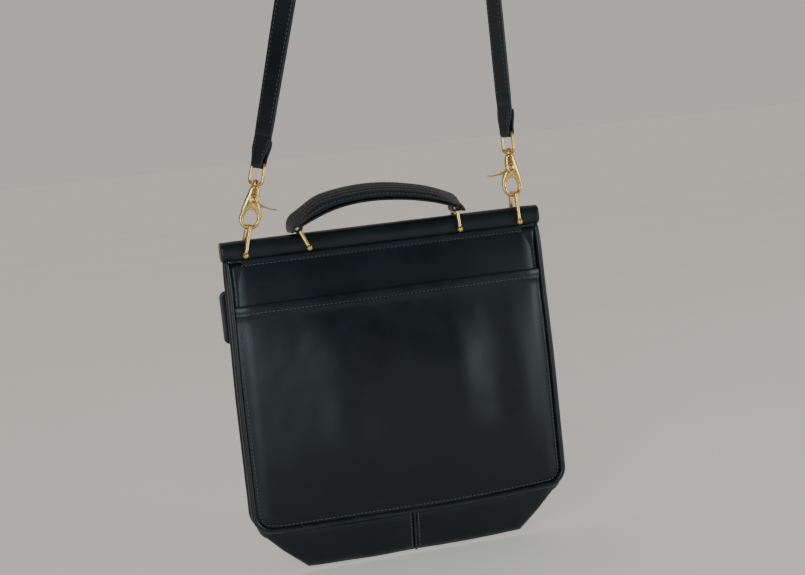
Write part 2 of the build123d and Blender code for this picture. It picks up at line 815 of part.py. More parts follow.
lace_y = tag_y + tag_thick + 0.05
with BuildPart() as tag_lace:
    with BuildSketch(upright(lace_y + 1.3)):
        with Locations((tag_x, -(lace_top - 2 + tag_top + 7) / 2)):
            RectangleRounded(lace_width, tag_top + 7 - lace_top + 2, 1.8)
        with Locations((tag_x, -lace_top - 3)):
            Circle(rivet_r + 0.06, mode=Mode.SUBTRACT)
    extrude(amount=1.3)
keep(tag_lace.part, "tag_lace")

rivet_foot = bowed_at(front_shape, lace_top + 3, tag_x, flap_half) + flap_inner - 1
with BuildPart() as tag_rivet:
    with BuildSketch(upright(lace_y + 1.7)):
        with Locations((tag_x, -lace_top - 3)):
            Circle(rivet_r)
    extrude(amount=lace_y + 1.7 - rivet_foot)
    with BuildSketch(upright(lace_y + 2.7)):
        with Locations((tag_x, -lace_top - 3)):
            Circle(2.3)
    extrude(amount=1.0)
keep(tag_rivet.part, "tag_rivet")

print(f"bar's middle from the hang point ({bar_x:.2f}, 0, {bar_z:.2f})")
print(f"{len(made)} pieces")
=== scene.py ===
import bpy
import json
from math import asin, atan2, cos, exp, pi, radians, sin, sqrt
from mathutils import Matrix, Vector, noise
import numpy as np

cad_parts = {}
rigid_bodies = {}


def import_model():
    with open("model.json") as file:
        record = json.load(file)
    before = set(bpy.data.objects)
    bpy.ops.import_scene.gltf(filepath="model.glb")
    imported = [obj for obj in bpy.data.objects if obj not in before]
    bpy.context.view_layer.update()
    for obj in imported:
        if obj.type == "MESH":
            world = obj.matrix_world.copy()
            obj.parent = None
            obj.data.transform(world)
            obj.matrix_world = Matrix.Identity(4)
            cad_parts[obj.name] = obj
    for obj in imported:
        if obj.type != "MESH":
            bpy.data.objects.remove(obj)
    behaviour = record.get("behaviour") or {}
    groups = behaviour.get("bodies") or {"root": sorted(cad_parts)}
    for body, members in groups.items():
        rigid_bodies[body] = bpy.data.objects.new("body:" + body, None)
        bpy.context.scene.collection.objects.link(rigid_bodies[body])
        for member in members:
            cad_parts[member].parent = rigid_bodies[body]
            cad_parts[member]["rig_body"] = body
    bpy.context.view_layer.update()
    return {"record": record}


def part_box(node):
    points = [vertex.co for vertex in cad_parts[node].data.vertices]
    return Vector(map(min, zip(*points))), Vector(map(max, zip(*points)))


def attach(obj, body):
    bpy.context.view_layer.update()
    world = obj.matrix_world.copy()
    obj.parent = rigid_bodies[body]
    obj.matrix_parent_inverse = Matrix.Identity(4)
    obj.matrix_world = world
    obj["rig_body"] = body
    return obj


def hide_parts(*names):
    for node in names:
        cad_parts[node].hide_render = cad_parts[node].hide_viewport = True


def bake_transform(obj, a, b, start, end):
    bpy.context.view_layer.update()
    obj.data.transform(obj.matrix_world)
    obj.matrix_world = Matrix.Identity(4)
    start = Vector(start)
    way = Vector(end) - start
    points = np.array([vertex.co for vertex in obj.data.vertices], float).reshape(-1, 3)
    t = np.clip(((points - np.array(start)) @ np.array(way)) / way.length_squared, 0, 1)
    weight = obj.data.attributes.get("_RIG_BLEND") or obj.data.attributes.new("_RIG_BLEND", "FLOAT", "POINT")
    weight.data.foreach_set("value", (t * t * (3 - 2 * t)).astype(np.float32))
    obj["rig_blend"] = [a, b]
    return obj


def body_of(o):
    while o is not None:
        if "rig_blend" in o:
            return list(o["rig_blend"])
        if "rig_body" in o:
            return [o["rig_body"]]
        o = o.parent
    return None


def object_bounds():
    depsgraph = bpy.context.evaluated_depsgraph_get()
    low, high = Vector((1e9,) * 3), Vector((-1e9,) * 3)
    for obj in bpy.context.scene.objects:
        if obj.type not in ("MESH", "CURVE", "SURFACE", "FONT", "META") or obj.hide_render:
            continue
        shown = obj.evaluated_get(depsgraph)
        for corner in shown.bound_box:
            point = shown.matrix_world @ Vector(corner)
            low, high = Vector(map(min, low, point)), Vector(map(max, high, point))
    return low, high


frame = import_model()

mm = 0.001
sides = {"left": -1, "right": 1}

# every place is measured in millimetres from the top bar's middle, then put into the row frame
barLow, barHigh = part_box("top_bar")
barMiddle = Vector([(a + b) / 2 for a, b in zip(barLow, barHigh)])
joint = {}
for entry in frame["record"]["behaviour"]["joints"]:
    if "pos_m" in entry:
        joint[entry["name"]] = (Vector(entry["pos_m"]) - barMiddle) / mm
    joint[entry["name"] + " axis"] = Vector(entry["axis"])


def place(point):
    return barMiddle + Vector(point) * mm


def middleOf(node):
    low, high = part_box(node)
    return ((Vector(low) + Vector(high)) / 2 - barMiddle) / mm


def bodyOf(node):
    return body_of(bpy.data.objects[node])[0]


# camera
photo = {"azimuth": -14.06, "elevation": 5.75, "roll": -6.13, "distance": 1352.0,
         "aim": (12.6, 0.0, -48.5), "lens": 70.55}


def makeCamera():
    azimuth = radians(photo["azimuth"])
    elevation = radians(photo["elevation"])
    roll = radians(photo["roll"])
    back = Vector((sin(azimuth) * cos(elevation), -cos(azimuth) * cos(elevation), sin(elevation)))
    right = Vector((0, 0, 1)).cross(back).normalized()
    up = back.cross(right)
    tiltedRight = right * cos(roll) + up * sin(roll)
    tiltedUp = up * cos(roll) - right * sin(roll)
    data = bpy.data.cameras.new("photoCamera")
    data.lens = photo["lens"]
    data.sensor_width = 36
    data.clip_start = 0.05
    camera = bpy.data.objects.new("photoCamera", data)
    bpy.context.collection.objects.link(camera)
    turn = Matrix((tiltedRight, tiltedUp, back)).transposed().to_4x4()
    camera.matrix_world = Matrix.Translation(place(photo["aim"]) + back * photo["distance"] * mm) @ turn
    bpy.context.scene.camera = camera


makeCamera()
print("camera placed")


# shader maths
class Socket:
    # wraps a node output so that an expression on it adds Math nodes
    def __init__(self, tree, out):
        self.tree = tree
        self.out = out

    def maths(self, operation, other, swap=False):
        pair = (other, self) if swap else (self, other)
        return self.tree.node("ShaderNodeMath", {"operation": operation}, pair)

    def __add__(self, other):
        return self.maths("ADD", other)

    def __sub__(self, other):
        return self.maths("SUBTRACT", other)

    def __mul__(self, other):
        return self.maths("MULTIPLY", other)

    def __truediv__(self, other):
        return self.maths("DIVIDE", other)

    def __pow__(self, other):
        return self.maths("POWER", other)

    def __rsub__(self, other):
        return self.maths("SUBTRACT", other, True)

    def __rtruediv__(self, other):
        return self.maths("DIVIDE", other, True)

    __radd__ = __add__
    __rmul__ = __mul__


class Finish:
    def __init__(self, name, owner=None):
        self.material = owner or bpy.data.materials.new(name)
        self.material.use_nodes = True
        self.nodes = self.material.node_tree.nodes
        self.links = self.material.node_tree.links
        self.shader = self.nodes.get("Principled BSDF")

    def node(self, kind, settings=None, inputs=(), output=0):
        made = self.nodes.new(kind)
        for key, value in (settings or {}).items():
            if key == "stops":
                ramp = made.color_ramp.elements
                while len(ramp) < len(value):
                    ramp.new(0.5)
                for stop, (spot, shade) in zip(ramp, value):
                    stop.position = spot
                    stop.color = (shade, shade, shade, 1) if isinstance(shade, float) else (*shade, 1)
            else:
                setattr(made, key, value)
        pairs = inputs.items() if isinstance(inputs, dict) else enumerate(inputs)
        for key, value in pairs:
            self.feed(made.inputs[key], value)
        return Socket(self, made.outputs[output])

    def feed(self, target, value):
        if isinstance(value, Socket):
            self.links.new(value.out, target)
        elif isinstance(value, tuple) and len(value) == 3 and target.type == "RGBA":
            target.default_value = (*value, 1)
        else:
            target.default_value = value

    def set(self, **values):
        for key, value in values.items():
            self.feed(self.shader.inputs[key.replace("_", " ")], value)

    def where(self, stretch=(1, 1, 1)):
        # the surface's own coordinates, in millimetres
        coords = self.node("ShaderNodeTexCoord", output="Object")
        scaled = tuple(1000 * s for s in stretch)
        return self.node("ShaderNodeVectorMath", {"operation": "MULTIPLY"}, (coords, scaled))

    def noise(self, scale, detail=3.0, rough=0.5, stretch=(1, 1, 1)):
        inputs = {"Vector": self.where(stretch), "Scale": scale, "Detail": detail, "Roughness": rough}
        return self.node("ShaderNodeTexNoise", {}, inputs)

    def cells(self, scale, feature="DISTANCE_TO_EDGE"):
        return self.node("ShaderNodeTexVoronoi", {"feature": feature},
                         {"Vector": self.where(), "Scale": scale})

    def ramp(self, value, *stops):
        return self.node("ShaderNodeValToRGB", {"stops": stops}, (value,))

    def mix(self, factor, a, b):
        mixed = self.node("ShaderNodeMix", {"data_type": "RGBA"}, {"Factor": factor}, output="Result")
        made = mixed.out.node
        self.feed(made.inputs[6], a)
        self.feed(made.inputs[7], b)
        return Socket(self, made.outputs[2])

    def worn(self):
        # near 1 on outside edges, where hands and tables rub
        point = self.node("ShaderNodeNewGeometry", output="Pointiness")
        return self.ramp(point, (0.5, 0.0), (0.58, 1.0))

    def bump(self, height, strength, distance):
        inputs = {"Strength": strength, "Distance": distance, "Height": height}
        return self.node("ShaderNodeBump", {}, inputs)


# materials
def leatherFinish(name, colour, rub, gloss=0.4, grain=0.55, coat=0.12):
    made = Finish(name)
    mottle = made.noise(0.035, 4.0, 0.6)
    fine = made.noise(0.4, 3.0, 0.55)
    pores = made.cells(1.15)
    creases = made.cells(0.62)
    wear = made.worn() * made.ramp(made.noise(0.08, 3.0), (0.35, 0.25), (0.7, 1.0))
    shade = made.mix(made.ramp(mottle, (0.3, 0.0), (0.72, 1.0)), colour, tuple(c * 1.5 for c in colour))
    shade = made.mix(wear * 0.7, shade, rub)
    pebble = made.ramp(pores, (0.0, 0.0), (0.16, 1.0)) * 0.6
    pebble = pebble + made.ramp(creases, (0.0, 0.0), (0.2, 1.0)) * 0.4
    height = pebble * 0.7 + fine * 0.6
    roughness = gloss + mottle * 0.16 + fine * 0.08 - wear * 0.08 - pebble * 0.04
    made.set(Base_Color=shade, Roughness=roughness, Normal=made.bump(height, grain, 0.00011))
    made.set(Specular_IOR_Level=0.3, Coat_Weight=coat * 0.5, Coat_Roughness=0.3)
    return made.material


def brassFinish():
    made = Finish("agedBrass")
    cloud = made.noise(0.09, 4.0, 0.6)
    specks = made.noise(1.1, 4.0, 0.7)
    scratches = made.noise(1.6, 2.0, 0.5, (1, 1, 0.12))
    tarnish = made.ramp(cloud * 0.7 + specks * 0.3, (0.42, 0.0), (0.66, 1.0))
    shade = made.mix(tarnish * 0.6, (0.78, 0.5, 0.18), (0.34, 0.19, 0.06))
    shade = made.mix(made.worn() * 0.5, shade, (0.9, 0.66, 0.32))
    made.set(Base_Color=shade, Metallic=1.0, Roughness=0.17 + tarnish * 0.2 + specks * 0.06)
    made.set(Normal=made.bump(scratches + specks * 0.5, 0.12, 0.00008))
    return made.material


def threadFinish():
    made = Finish("waxedThread")
    twist = made.node("ShaderNodeTexWave", {"bands_direction": "DIAGONAL"},
                      {"Vector": made.where(), "Scale": 1.4, "Distortion": 1.0})
    shade = made.mix(twist, (0.03, 0.036, 0.044), (0.13, 0.145, 0.16))
    made.set(Base_Color=shade, Roughness=0.42 + twist * 0.2, Normal=made.bump(twist, 0.5, 0.0001))
    return made.material


def fleshFinish():
    made = Finish("fleshSide")
    nap = made.noise(0.9, 5.0, 0.7)
    cloud = made.noise(0.05, 3.0)
    shade = made.mix(cloud * 0.5 + nap * 0.5, (0.018, 0.017, 0.017), (0.06, 0.055, 0.05))
    made.set(Base_Color=shade, Roughness=0.8 + nap * 0.15, Normal=made.bump(nap, 0.6, 0.0002))
    return made.material


def clothFinish():
    made = Finish("zipCloth")
    weave = made.node("ShaderNodeTexWave", {"bands_direction": "X"}, {"Vector": made.where(), "Scale": 0.9})
    cross = made.node("ShaderNodeTexWave", {"bands_direction": "Z"}, {"Vector": made.where(), "Scale": 0.9})
    cloth = weave * cross
    made.set(Base_Color=made.mix(cloth, (0.01, 0.01, 0.012), (0.03, 0.03, 0.034)), Roughness=0.85)
    made.set(Normal=made.bump(cloth, 0.5, 0.0002))
    return made.material


def boardFinish():
    made = Finish("barBoard")
    grain = made.noise(0.3, 4.0, 0.6, (0.06, 1, 1))
    made.set(Base_Color=made.mix(grain, (0.3, 0.19, 0.1), (0.5, 0.35, 0.2)), Roughness=0.6 + grain * 0.2)
    return made.material


leather = leatherFinish("bridleLeather", (0.0026, 0.0042, 0.0064), (0.03, 0.034, 0.04), 0.25, 0.4, 0.12)
pipingLeather = leatherFinish("pipingLeather", (0.003, 0.0045, 0.0065), (0.05, 0.055, 0.06), 0.22, 0.3, 0.25)
handleLeather = leatherFinish("handleLeather", (0.003, 0.0044, 0.0066), (0.03, 0.035, 0.042), 0.34, 0.5, 0.08)
strapLeather = leatherFinish("strapLeather", (0.0036, 0.0052, 0.0085), (0.04, 0.048, 0.058), 0.36, 0.4, 0.08)
brass = brassFinish()
thread = threadFinish()
flesh = fleshFinish()
zipCloth = clothFinish()
barBoard = boardFinish()
print("materials made")


# mesh tools
def meshPiece(name, points, faces, material, body, smooth=True, sharp=None):
    mesh = bpy.data.meshes.new(name)
    mesh.from_pydata([tuple(place(p)) for p in points], [], faces)
    mesh.materials.append(material)
    mesh.validate()
    mesh.update()
    for polygon in mesh.polygons:
        polygon.use_smooth = smooth
    if sharp:
        mesh.set_sharp_from_angle(angle=radians(sharp))
    piece = bpy.data.objects.new(name, mesh)
    bpy.context.collection.objects.link(piece)
    if body:
        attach(piece, body)
    return piece


def slotAndReplace(piece, slotName, *nodes):
    if nodes:
        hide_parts(*nodes)
    return piece


def ringFaces(rings, size, closed=False, start=0):
    faces = []
    for r in range(rings if closed else rings - 1):
        a = start + r * size
        b = start + (r + 1) % rings * size
        for k in range(size):
            n = (k + 1) % size
            faces.append((a + k, a + n, b + n, b + k))
    return faces


def tangents(path, closed=False):
    found = []
    last = len(path) - 1
    for i in range(len(path)):
        before = path[i - 1] if i or closed else path[0]
        after = path[(i + 1) % len(path)] if i < last or closed else path[last]
        found.append((after - before).normalized())
    return found


def sweep(path, section, sideways, closed=False, caps=True):
    # carries a section along a path; sideways(i, tangent) gives the section's first axis
    points = []
    for i, (spot, ahead) in enumerate(zip(path, tangents(path, closed))):
        across = sideways(i, ahead)
        across = (across - ahead * across.dot(ahead)).normalized()
        out = ahead.cross(across)
        shape = section(i) if callable(section) else section
        points += [spot + across * a + out * b for a, b in shape]
    size = len(shape)
    faces = ringFaces(len(path), size, closed)
    if caps and not closed:
        faces.append(tuple(range(size - 1, -1, -1)))
        faces.append(tuple(range(len(points) - size, len(points))))
    return points, faces


def roundSection(radius, count=16, flat=1.0):
    turns = [2 * pi * k / count for k in range(count)]
    return [(radius * cos(t), radius * flat * sin(t)) for t in turns]


def strapSection(width, thick, corner=0.8, steps=4):
    # a flat section with rounded corners, and spare points across its faces
    points = []
    hx, hy = width / 2 - corner, thick / 2 - corner
    for cx, cy, start in ((hx, -hy, -90), (hx, hy, 0), (-hx, hy, 90), (-hx, -hy, 180)):
        for k in range(steps + 1):
            t = radians(start + 90 * k / steps)
            points.append((cx + corner * cos(t), cy + corner * sin(t)))
        if start in (0, 180):
            way = 1 if start == 0 else -1
            points += [(way * hx * (1 - k / 3), way * thick / 2) for k in range(1, 6)]
    return points


def bentPath(corners, radius, steps=7):
    # straight runs joined by arcs
    path = [Vector(corners[0])]
    for before, here, after in zip(corners, corners[1:], corners[2:]):
        here = Vector(here)
        back = (Vector(before) - here).normalized()
        ahead = (Vector(after) - here).normalized()
        half = back.angle(ahead) / 2
        reach = radius / (sin(half) / cos(half))
        centre = here + (back + ahead).normalized() * (radius / sin(half))
        a = here + back * reach - centre
        b = here + ahead * reach - centre
        path += [centre + a.slerp(b, k / steps) for k in range(steps + 1)]
    path.append(Vector(corners[-1]))
    return path


def runLengths(path):
    # how far along a path each of its points lies
    walked = [0.0]
    for a, b in zip(path, path[1:]):
        walked.append(walked[-1] + (b - a).length)
    return walked


def softCorner(a, b, t, power):
    # a point on an outline between an ellipse and a rectangle
    c, s = cos(t), sin(t)
    return (a * abs(c) ** (2 / power) * (1 if c > 0 else -1),
            b * abs(s) ** (2 / power) * (1 if s > 0 else -1))


def merge(parts):
    points, faces = [], []
    for morePoints, moreFaces in parts:
        base = len(points)
        points += morePoints
        faces += [tuple(base + k for k in face) for face in moreFaces]
    return points, faces


def ball(centre, radius, squash=(1, 1, 1), rows=10, count=16):
    centre = Vector(centre)
    points = [centre + Vector((0, 0, -radius * squash[2]))]
    for r in range(1, rows):
        t = pi * r / rows
        for k in range(count):
            s = 2 * pi * k / count
            points.append(centre + Vector((radius * sin(t) * cos(s) * squash[0],
                                           radius * sin(t) * sin(s) * squash[1],
                                           -radius * cos(t) * squash[2])))
    points.append(centre + Vector((0, 0, radius * squash[2])))
    faces = [(0, 1 + (k + 1) % count, 1 + k) for k in range(count)]
    faces += ringFaces(rows - 1, count, False, 1)
    top = len(points) - 1
    base = 1 + (rows - 2) * count
    faces += [(top, base + k, base + (k + 1) % count) for k in range(count)]
    return points, faces


def spread(start, end, step, marks=(), rim=1.1):
    # grid lines from start to end: even, finer at both rims and round each mark
    length = abs(end - start)
    way = 1 if end > start else -1
    lines = {0.0, 0.12 * rim, 0.45 * rim, rim, length, length - 0.12 * rim, length - 0.45 * rim, length - rim}
    count = max(2, round((length - 2 * rim) / step))
    lines |= {rim + (length - 2 * rim) * k / count for k in range(1, count)}
    for mark in marks:
        spot = abs(mark - start)
        lines |= {spot + d for d in (-1.6, -0.9, 0.0, 0.9, 1.6) if rim < spot + d < length - rim}
    kept = []
    for line in sorted(lines):
        if not kept or line - kept[-1] > 0.1:
            kept.append(line)
    return [start + way * line for line in kept]


def leatherSheet(surface, us, vs, thick, rim=1.1, hole=None):
    # a closed sheet with rounded rims; surface(u, v) is its middle layer, hole(u, v) is true inside a cut-out
    rows, cols = len(vs), len(us)
    grid = [[Vector(surface(u, v)) for u in us] for v in vs]

    def edgeShare(values, k):
        near = min(abs(values[k] - values[0]), abs(values[-1] - values[k]))
        share = min(near / rim, 1)
        return sqrt(1 - (1 - share) ** 2)

    front, back = [], []
    for r in range(rows):
        for c in range(cols):
            along = grid[r][min(c + 1, cols - 1)] - grid[r][max(c - 1, 0)]
            down = grid[min(r + 1, rows - 1)][c] - grid[max(r - 1, 0)][c]
            normal = along.cross(down).normalized()
            lift = normal * thick / 2 * edgeShare(us, c) * edgeShare(vs, r)
            front.append(grid[r][c] + lift)
            back.append(grid[r][c] - lift)
    points = list(front)
    other = {}
    for r in range(rows):
        for c in range(cols):
            k = r * cols + c
            if r in (0, rows - 1) or c in (0, cols - 1):
                other[k] = k
            else:
                other[k] = len(points)
                points.append(back[k])
    faces, openEdges = [], set()
    for r in range(rows - 1):
        for c in range(cols - 1):
            a = r * cols + c
            quad = (a, a + 1, a + cols + 1, a + cols)
            if hole and hole((us[c] + us[c + 1]) / 2, (vs[r] + vs[r + 1]) / 2):
                for m, n in zip(quad, quad[1:] + quad[:1]):
                    openEdges.add((m, n))
                continue
            faces.append(quad)
            faces.append(tuple(other[k] for k in reversed(quad)))
    for m, n in openEdges:
        if (n, m) not in openEdges:
            faces.append((m, n, other[n], other[m]))
    return points, faces


stitchSize = {"length": 2.5, "pitch": 3.5, "radius": 0.36, "sink": 0.08}


def stitches(path, normals, size=stitchSize):
    # short thread capsules laid along a path, each dipping at both ends into the leather
    parts = []
    walked = size["pitch"] / 2
    total = 0.0
    for (a, b), normal in zip(zip(path, path[1:]), normals):
        run = (b - a).length
        ahead = (b - a).normalized()
        while walked < total + run:
            centre = a + ahead * (walked - total) + normal * size["sink"]
            line = []
            for k in range(5):
                s = k / 4 * 2 - 1
                line.append(centre + ahead * s * size["length"] / 2 - normal * size["radius"] * s * s)
            radii = [size["radius"] * r for r in (0.55, 0.95, 1.0, 0.95, 0.55)]
            parts.append(sweep(line, lambda i: roundSection(radii[i], 6), lambda i, t: t.cross(normal)))
            walked += size["pitch"]
        total += run
    return merge(parts)


def bell(x, middle, width):
    return exp(-((x - middle) / width) ** 2)


def smooth(x):
    x = min(max(x, 0.0), 1.0)
    return x * x * (3 - 2 * x)


def wobble(x, z, scale, seed=0.0):
    return noise.noise(Vector((x / scale, z / scale, seed)))


# the bag's shape
bag = {"pipeX": 138.0, "pipeTopX": 136.0, "bottom": -238.0, "cornerR": 15.0, "pipeR": 2.4, "edgeY": 8.0,
       "pocketTop": -46.0, "panelTop": -7.6, "bulgeBack": 11.5, "bulgeFront": 11.0}


def sideX(z):
    # the piping's distance from the middle; the bag is a touch narrower under the roll
    return bag["pipeTopX"] + (bag["pipeX"] - bag["pipeTopX"]) * smooth((-z - 20) / 120)


def pipeBottom(x):
    # the bottom piping hangs a little lower in the middle
    return bag["bottom"] - 2.6 * (1 - (x / bag["pipeX"]) ** 2) - 0.5 * sin(x / 31)


def roundedHalf(half, r, up):
    # a half width, drawn in by a corner of radius r at the height up above the edge
    return half if up >= r else half + sqrt(max(r * r - (r - max(up, 0)) ** 2, 0)) - r


def halfWidthAt(z, inset):
    # the panel's half width, rounded at its lower corners
    return roundedHalf(sideX(z) - inset, bag["cornerR"] - inset, z - (bag["bottom"] + inset))


def bulge(x, z, height):
    across = max(1 - (abs(x) / 137) ** 2.2, 0)
    down = smooth((-z - 8) / 110) * (1 - 0.86 * smooth((-z - 165) / 72))
    return height * across * down


def backDents(x, z):
    # the soft hills and hollows that an empty bag's back takes
    hills = 3.6 * bell(x, -50, 24) * bell(z, -150, 60) + 3.4 * bell(x, 52, 23) * bell(z, -132, 36)
    hills += 1.5 * bell(x, -60, 30) * bell(z, -85, 26) + 1.6 * bell(x, 108, 16) * bell(z, -150, 60)
    hollows = 2.2 * bell(x, -16, 24) * bell(z, -165, 34) + 1.8 * bell(x, 84, 22) * bell(z, -150, 50)
    hollows += 0.8 * bell(x, 92, 26) * bell(z, -75, 30)
    edge = smooth((sideX(z) - abs(x)) / 26) * smooth((-z - 30) / 30) * smooth((z + 236) / 30)
    return (hills - hollows + 0.7 * wobble(x, z, 48, 2.0) + 0.25 * wobble(x, z, 15, 5.0)) * edge


def underRoll(z):
    # the panel's top tucks in under the roll
    return 2.6 * (1 - smooth((-z - 7) / 22))


def roundIn(x, z):
    # the panel curls in to meet its piping at the sides and the bottom
    return 1.6 * (1 - smooth((sideX(z) - 3 - abs(x)) / 9)) + 1.28 * (1 - smooth((z - bag["bottom"] - 3) / 9))


def backY(x, z):
    rise = bulge(x, z, bag["bulgeBack"]) + backDents(x, z)
    return -(bag["edgeY"] + 1.2 + rise - underRoll(z) - roundIn(x, z))


def frontY(x, z):
    rise = bulge(x, z, bag["bulgeFront"]) + 1.2 * wobble(x, z, 60, 9.0) * smooth((sideX(z) - abs(x)) / 26)
    mouth = 4.0 * (1 - smooth((-z - 20) / 60)) * max(1 - (x / 125) ** 2, 0)
    return bag["edgeY"] + 0.6 + rise + mouth - roundIn(x, z)


def seamGroove(distance, width=1.5, depth=0.35):
    return depth * bell(distance, 0, width)


def panelSheet(yFn, side, top, thick, marks=(), inset=2.6, hem=None, step=4.0):
    # a panel between its piping, with its lower corners rounded
    low = bag["bottom"] + inset
    width = bag["pipeX"]
    us = [u / width for u in spread(-width, width, step)]
    vs = spread(top, low, step, marks)

    def surface(u, v):
        sag = pipeBottom(u * width) - bag["bottom"]
        z = v + sag * smooth((top - v) / (top - low))
        x = u * halfWidthAt(v, inset)
        y = yFn(x, v)
        for mark in marks:
            y -= side * seamGroove(v - mark)
        if hem:
            y += side * hem(v)
        return (x, y, z)

    outside = surface if side < 0 else lambda u, v: surface(-u, v)
    return (*leatherSheet(outside, us, vs, thick), surface)


def rowOn(surface, side, v, u0, u1, lift, count=90):
    # a path across a panel at one height, and the panel's outward direction
    out = Vector((0, side * lift, 0))
    path = [Vector(surface(u0 + (u1 - u0) * k / count, v)) + out for k in range(count + 1)]
    return path, [Vector((0, side, 0))] * count


threadRows = {"bag": [], "flap": [], "handle": [], "tag": []}


def sew(body, path, normals, size=stitchSize):
    threadRows[body].append(stitches(path, normals, size))


def makeBack():
    thick = 2.0
    stitchUnderRoll = -12.6
    points, faces, surface = panelSheet(lambda x, z: backY(x, z) + 2.2, -1, bag["panelTop"], thick,
                                        (stitchUnderRoll,))
    slotAndReplace(meshPiece("backPanel", points, faces, leather, "bag"), "black_leather", "back_panel")
    path, normals = rowOn(surface, -1, stitchUnderRoll, -0.965, 0.965, thick / 2 - 0.25)
    sew("bag", path, normals)

    top = bag["pocketTop"]
    hemLine = top - 6.6

    def hem(z):
        # the pocket's folded edge stands proud and rolls over
        return 1.0 * smooth((top - z + 0.2) / 1.4) * (1 - smooth((hemLine - 1.2 - z) / 2.4)) - 0.2

    def pocketY(x, z):
        slack = 0.9 * bell(z, top, 14) * sin((x + 140) / 280 * pi)
        return backY(x, z) - slack

    points, faces, surface = panelSheet(pocketY, -1, top, 2.2, (hemLine,), hem=hem)
    slotAndReplace(meshPiece("backPocket", points, faces, leather, "bag"), "black_leather", "back_pocket")
    path, normals = rowOn(surface, -1, hemLine, -0.985, 0.985, 2.2 / 2 - 0.25)
    sew("bag", path, normals)


def pipingPath(side, bottomSteps=60, sideSteps=50):
    y = side * bag["edgeY"]
    top = -6.2
    low = bag["bottom"]
    r = bag["cornerR"]
    path = []
    for k in range(sideSteps + 1):
        z = top + (low + r - top) * k / sideSteps
        tuck = side * 3.0 * (1 - smooth((-z - 6) / 22))
        path.append(Vector((-sideX(z), y - tuck + side * 0.5 * wobble(z, side, 40, 3), z)))
    for k in range(1, 9):
        t = radians(180 + 90 * k / 8)
        path.append(Vector((-bag["pipeX"] + r + r * cos(t), y, low + r + r * sin(t))))
    for k in range(1, bottomSteps):
        x = (-bag["pipeX"] + r) * (1 - 2 * k / bottomSteps)
        sag = pipeBottom(x) - pipeBottom(bag["pipeX"] - r)
        path.append(Vector((x, y - side * 0.6 * bell(x, 0, 60), sag + low)))
    mirrored = [Vector((-p.x, p.y, p.z)) for p in reversed(path[:sideSteps + 9])]
    return path + mirrored


def makePiping():
    for name, side in (("backPiping", -1), ("frontPiping", 1)):
        path = pipingPath(side)

        def girth(i):
            swell = 1 + 0.05 * noise.noise(Vector((i * 0.35, side, 7)))
            fade = smooth((i + 0.6) / 2) * smooth((len(path) - 0.4 - i) / 2)
            return roundSection(bag["pipeR"] * swell * (0.35 + 0.65 * fade), 14)

        points, faces = sweep(path, girth, lambda i, t: Vector((0, 1, 0)))
        piece = meshPiece(name, points, faces, pipingLeather, "bag")
        slotAndReplace(piece, "piping_leather", name.replace("P", "_p"))
        # the seam's stitches, just inside the piping
        inner = []
        middle = Vector((0, 0, -110))
        for p, t in zip(path, tangents(path)):
            inward = Vector((-t.z, 0, t.x))
            if inward.dot(middle - p) < 0:
                inward = -inward
            q = p + inward * 4.9
            height = backY(q.x, q.z) - 1.1 if side < 0 else frontY(q.x, q.z) + 1.0
            if q.z > bag["pocketTop"] and side < 0:
                height += 2.0
            inner.append(Vector((q.x, height + side * 0.1, q.z)))
        upper = [p for p in inner[:len(inner) // 2] if p.z < -20]
        lower = [p for p in inner[len(inner) // 2:] if p.z < -20]
        for line in (upper, lower):
            sew("bag", line, [Vector((0, side, 0))] * (len(line) - 1))


gusset = {"top": -9.5, "cornerR": 9.0, "fold": 36.0, "thick": 1.6, "foldInRun": 60.0, "foldOutRun": 42.0,
          "keelSlope": 1.02, "tuck": 1.2}


def gussetFold(distance, corner):
    # how far the strip's middle stands out of the bag's outline: in at the sides, out below
    if distance < corner:
        return -gusset["fold"] * smooth((corner - distance) / gusset["foldInRun"] + 0.05)
    return gusset["fold"] * min((distance - corner) / gusset["foldOutRun"], 1.0) ** 0.9


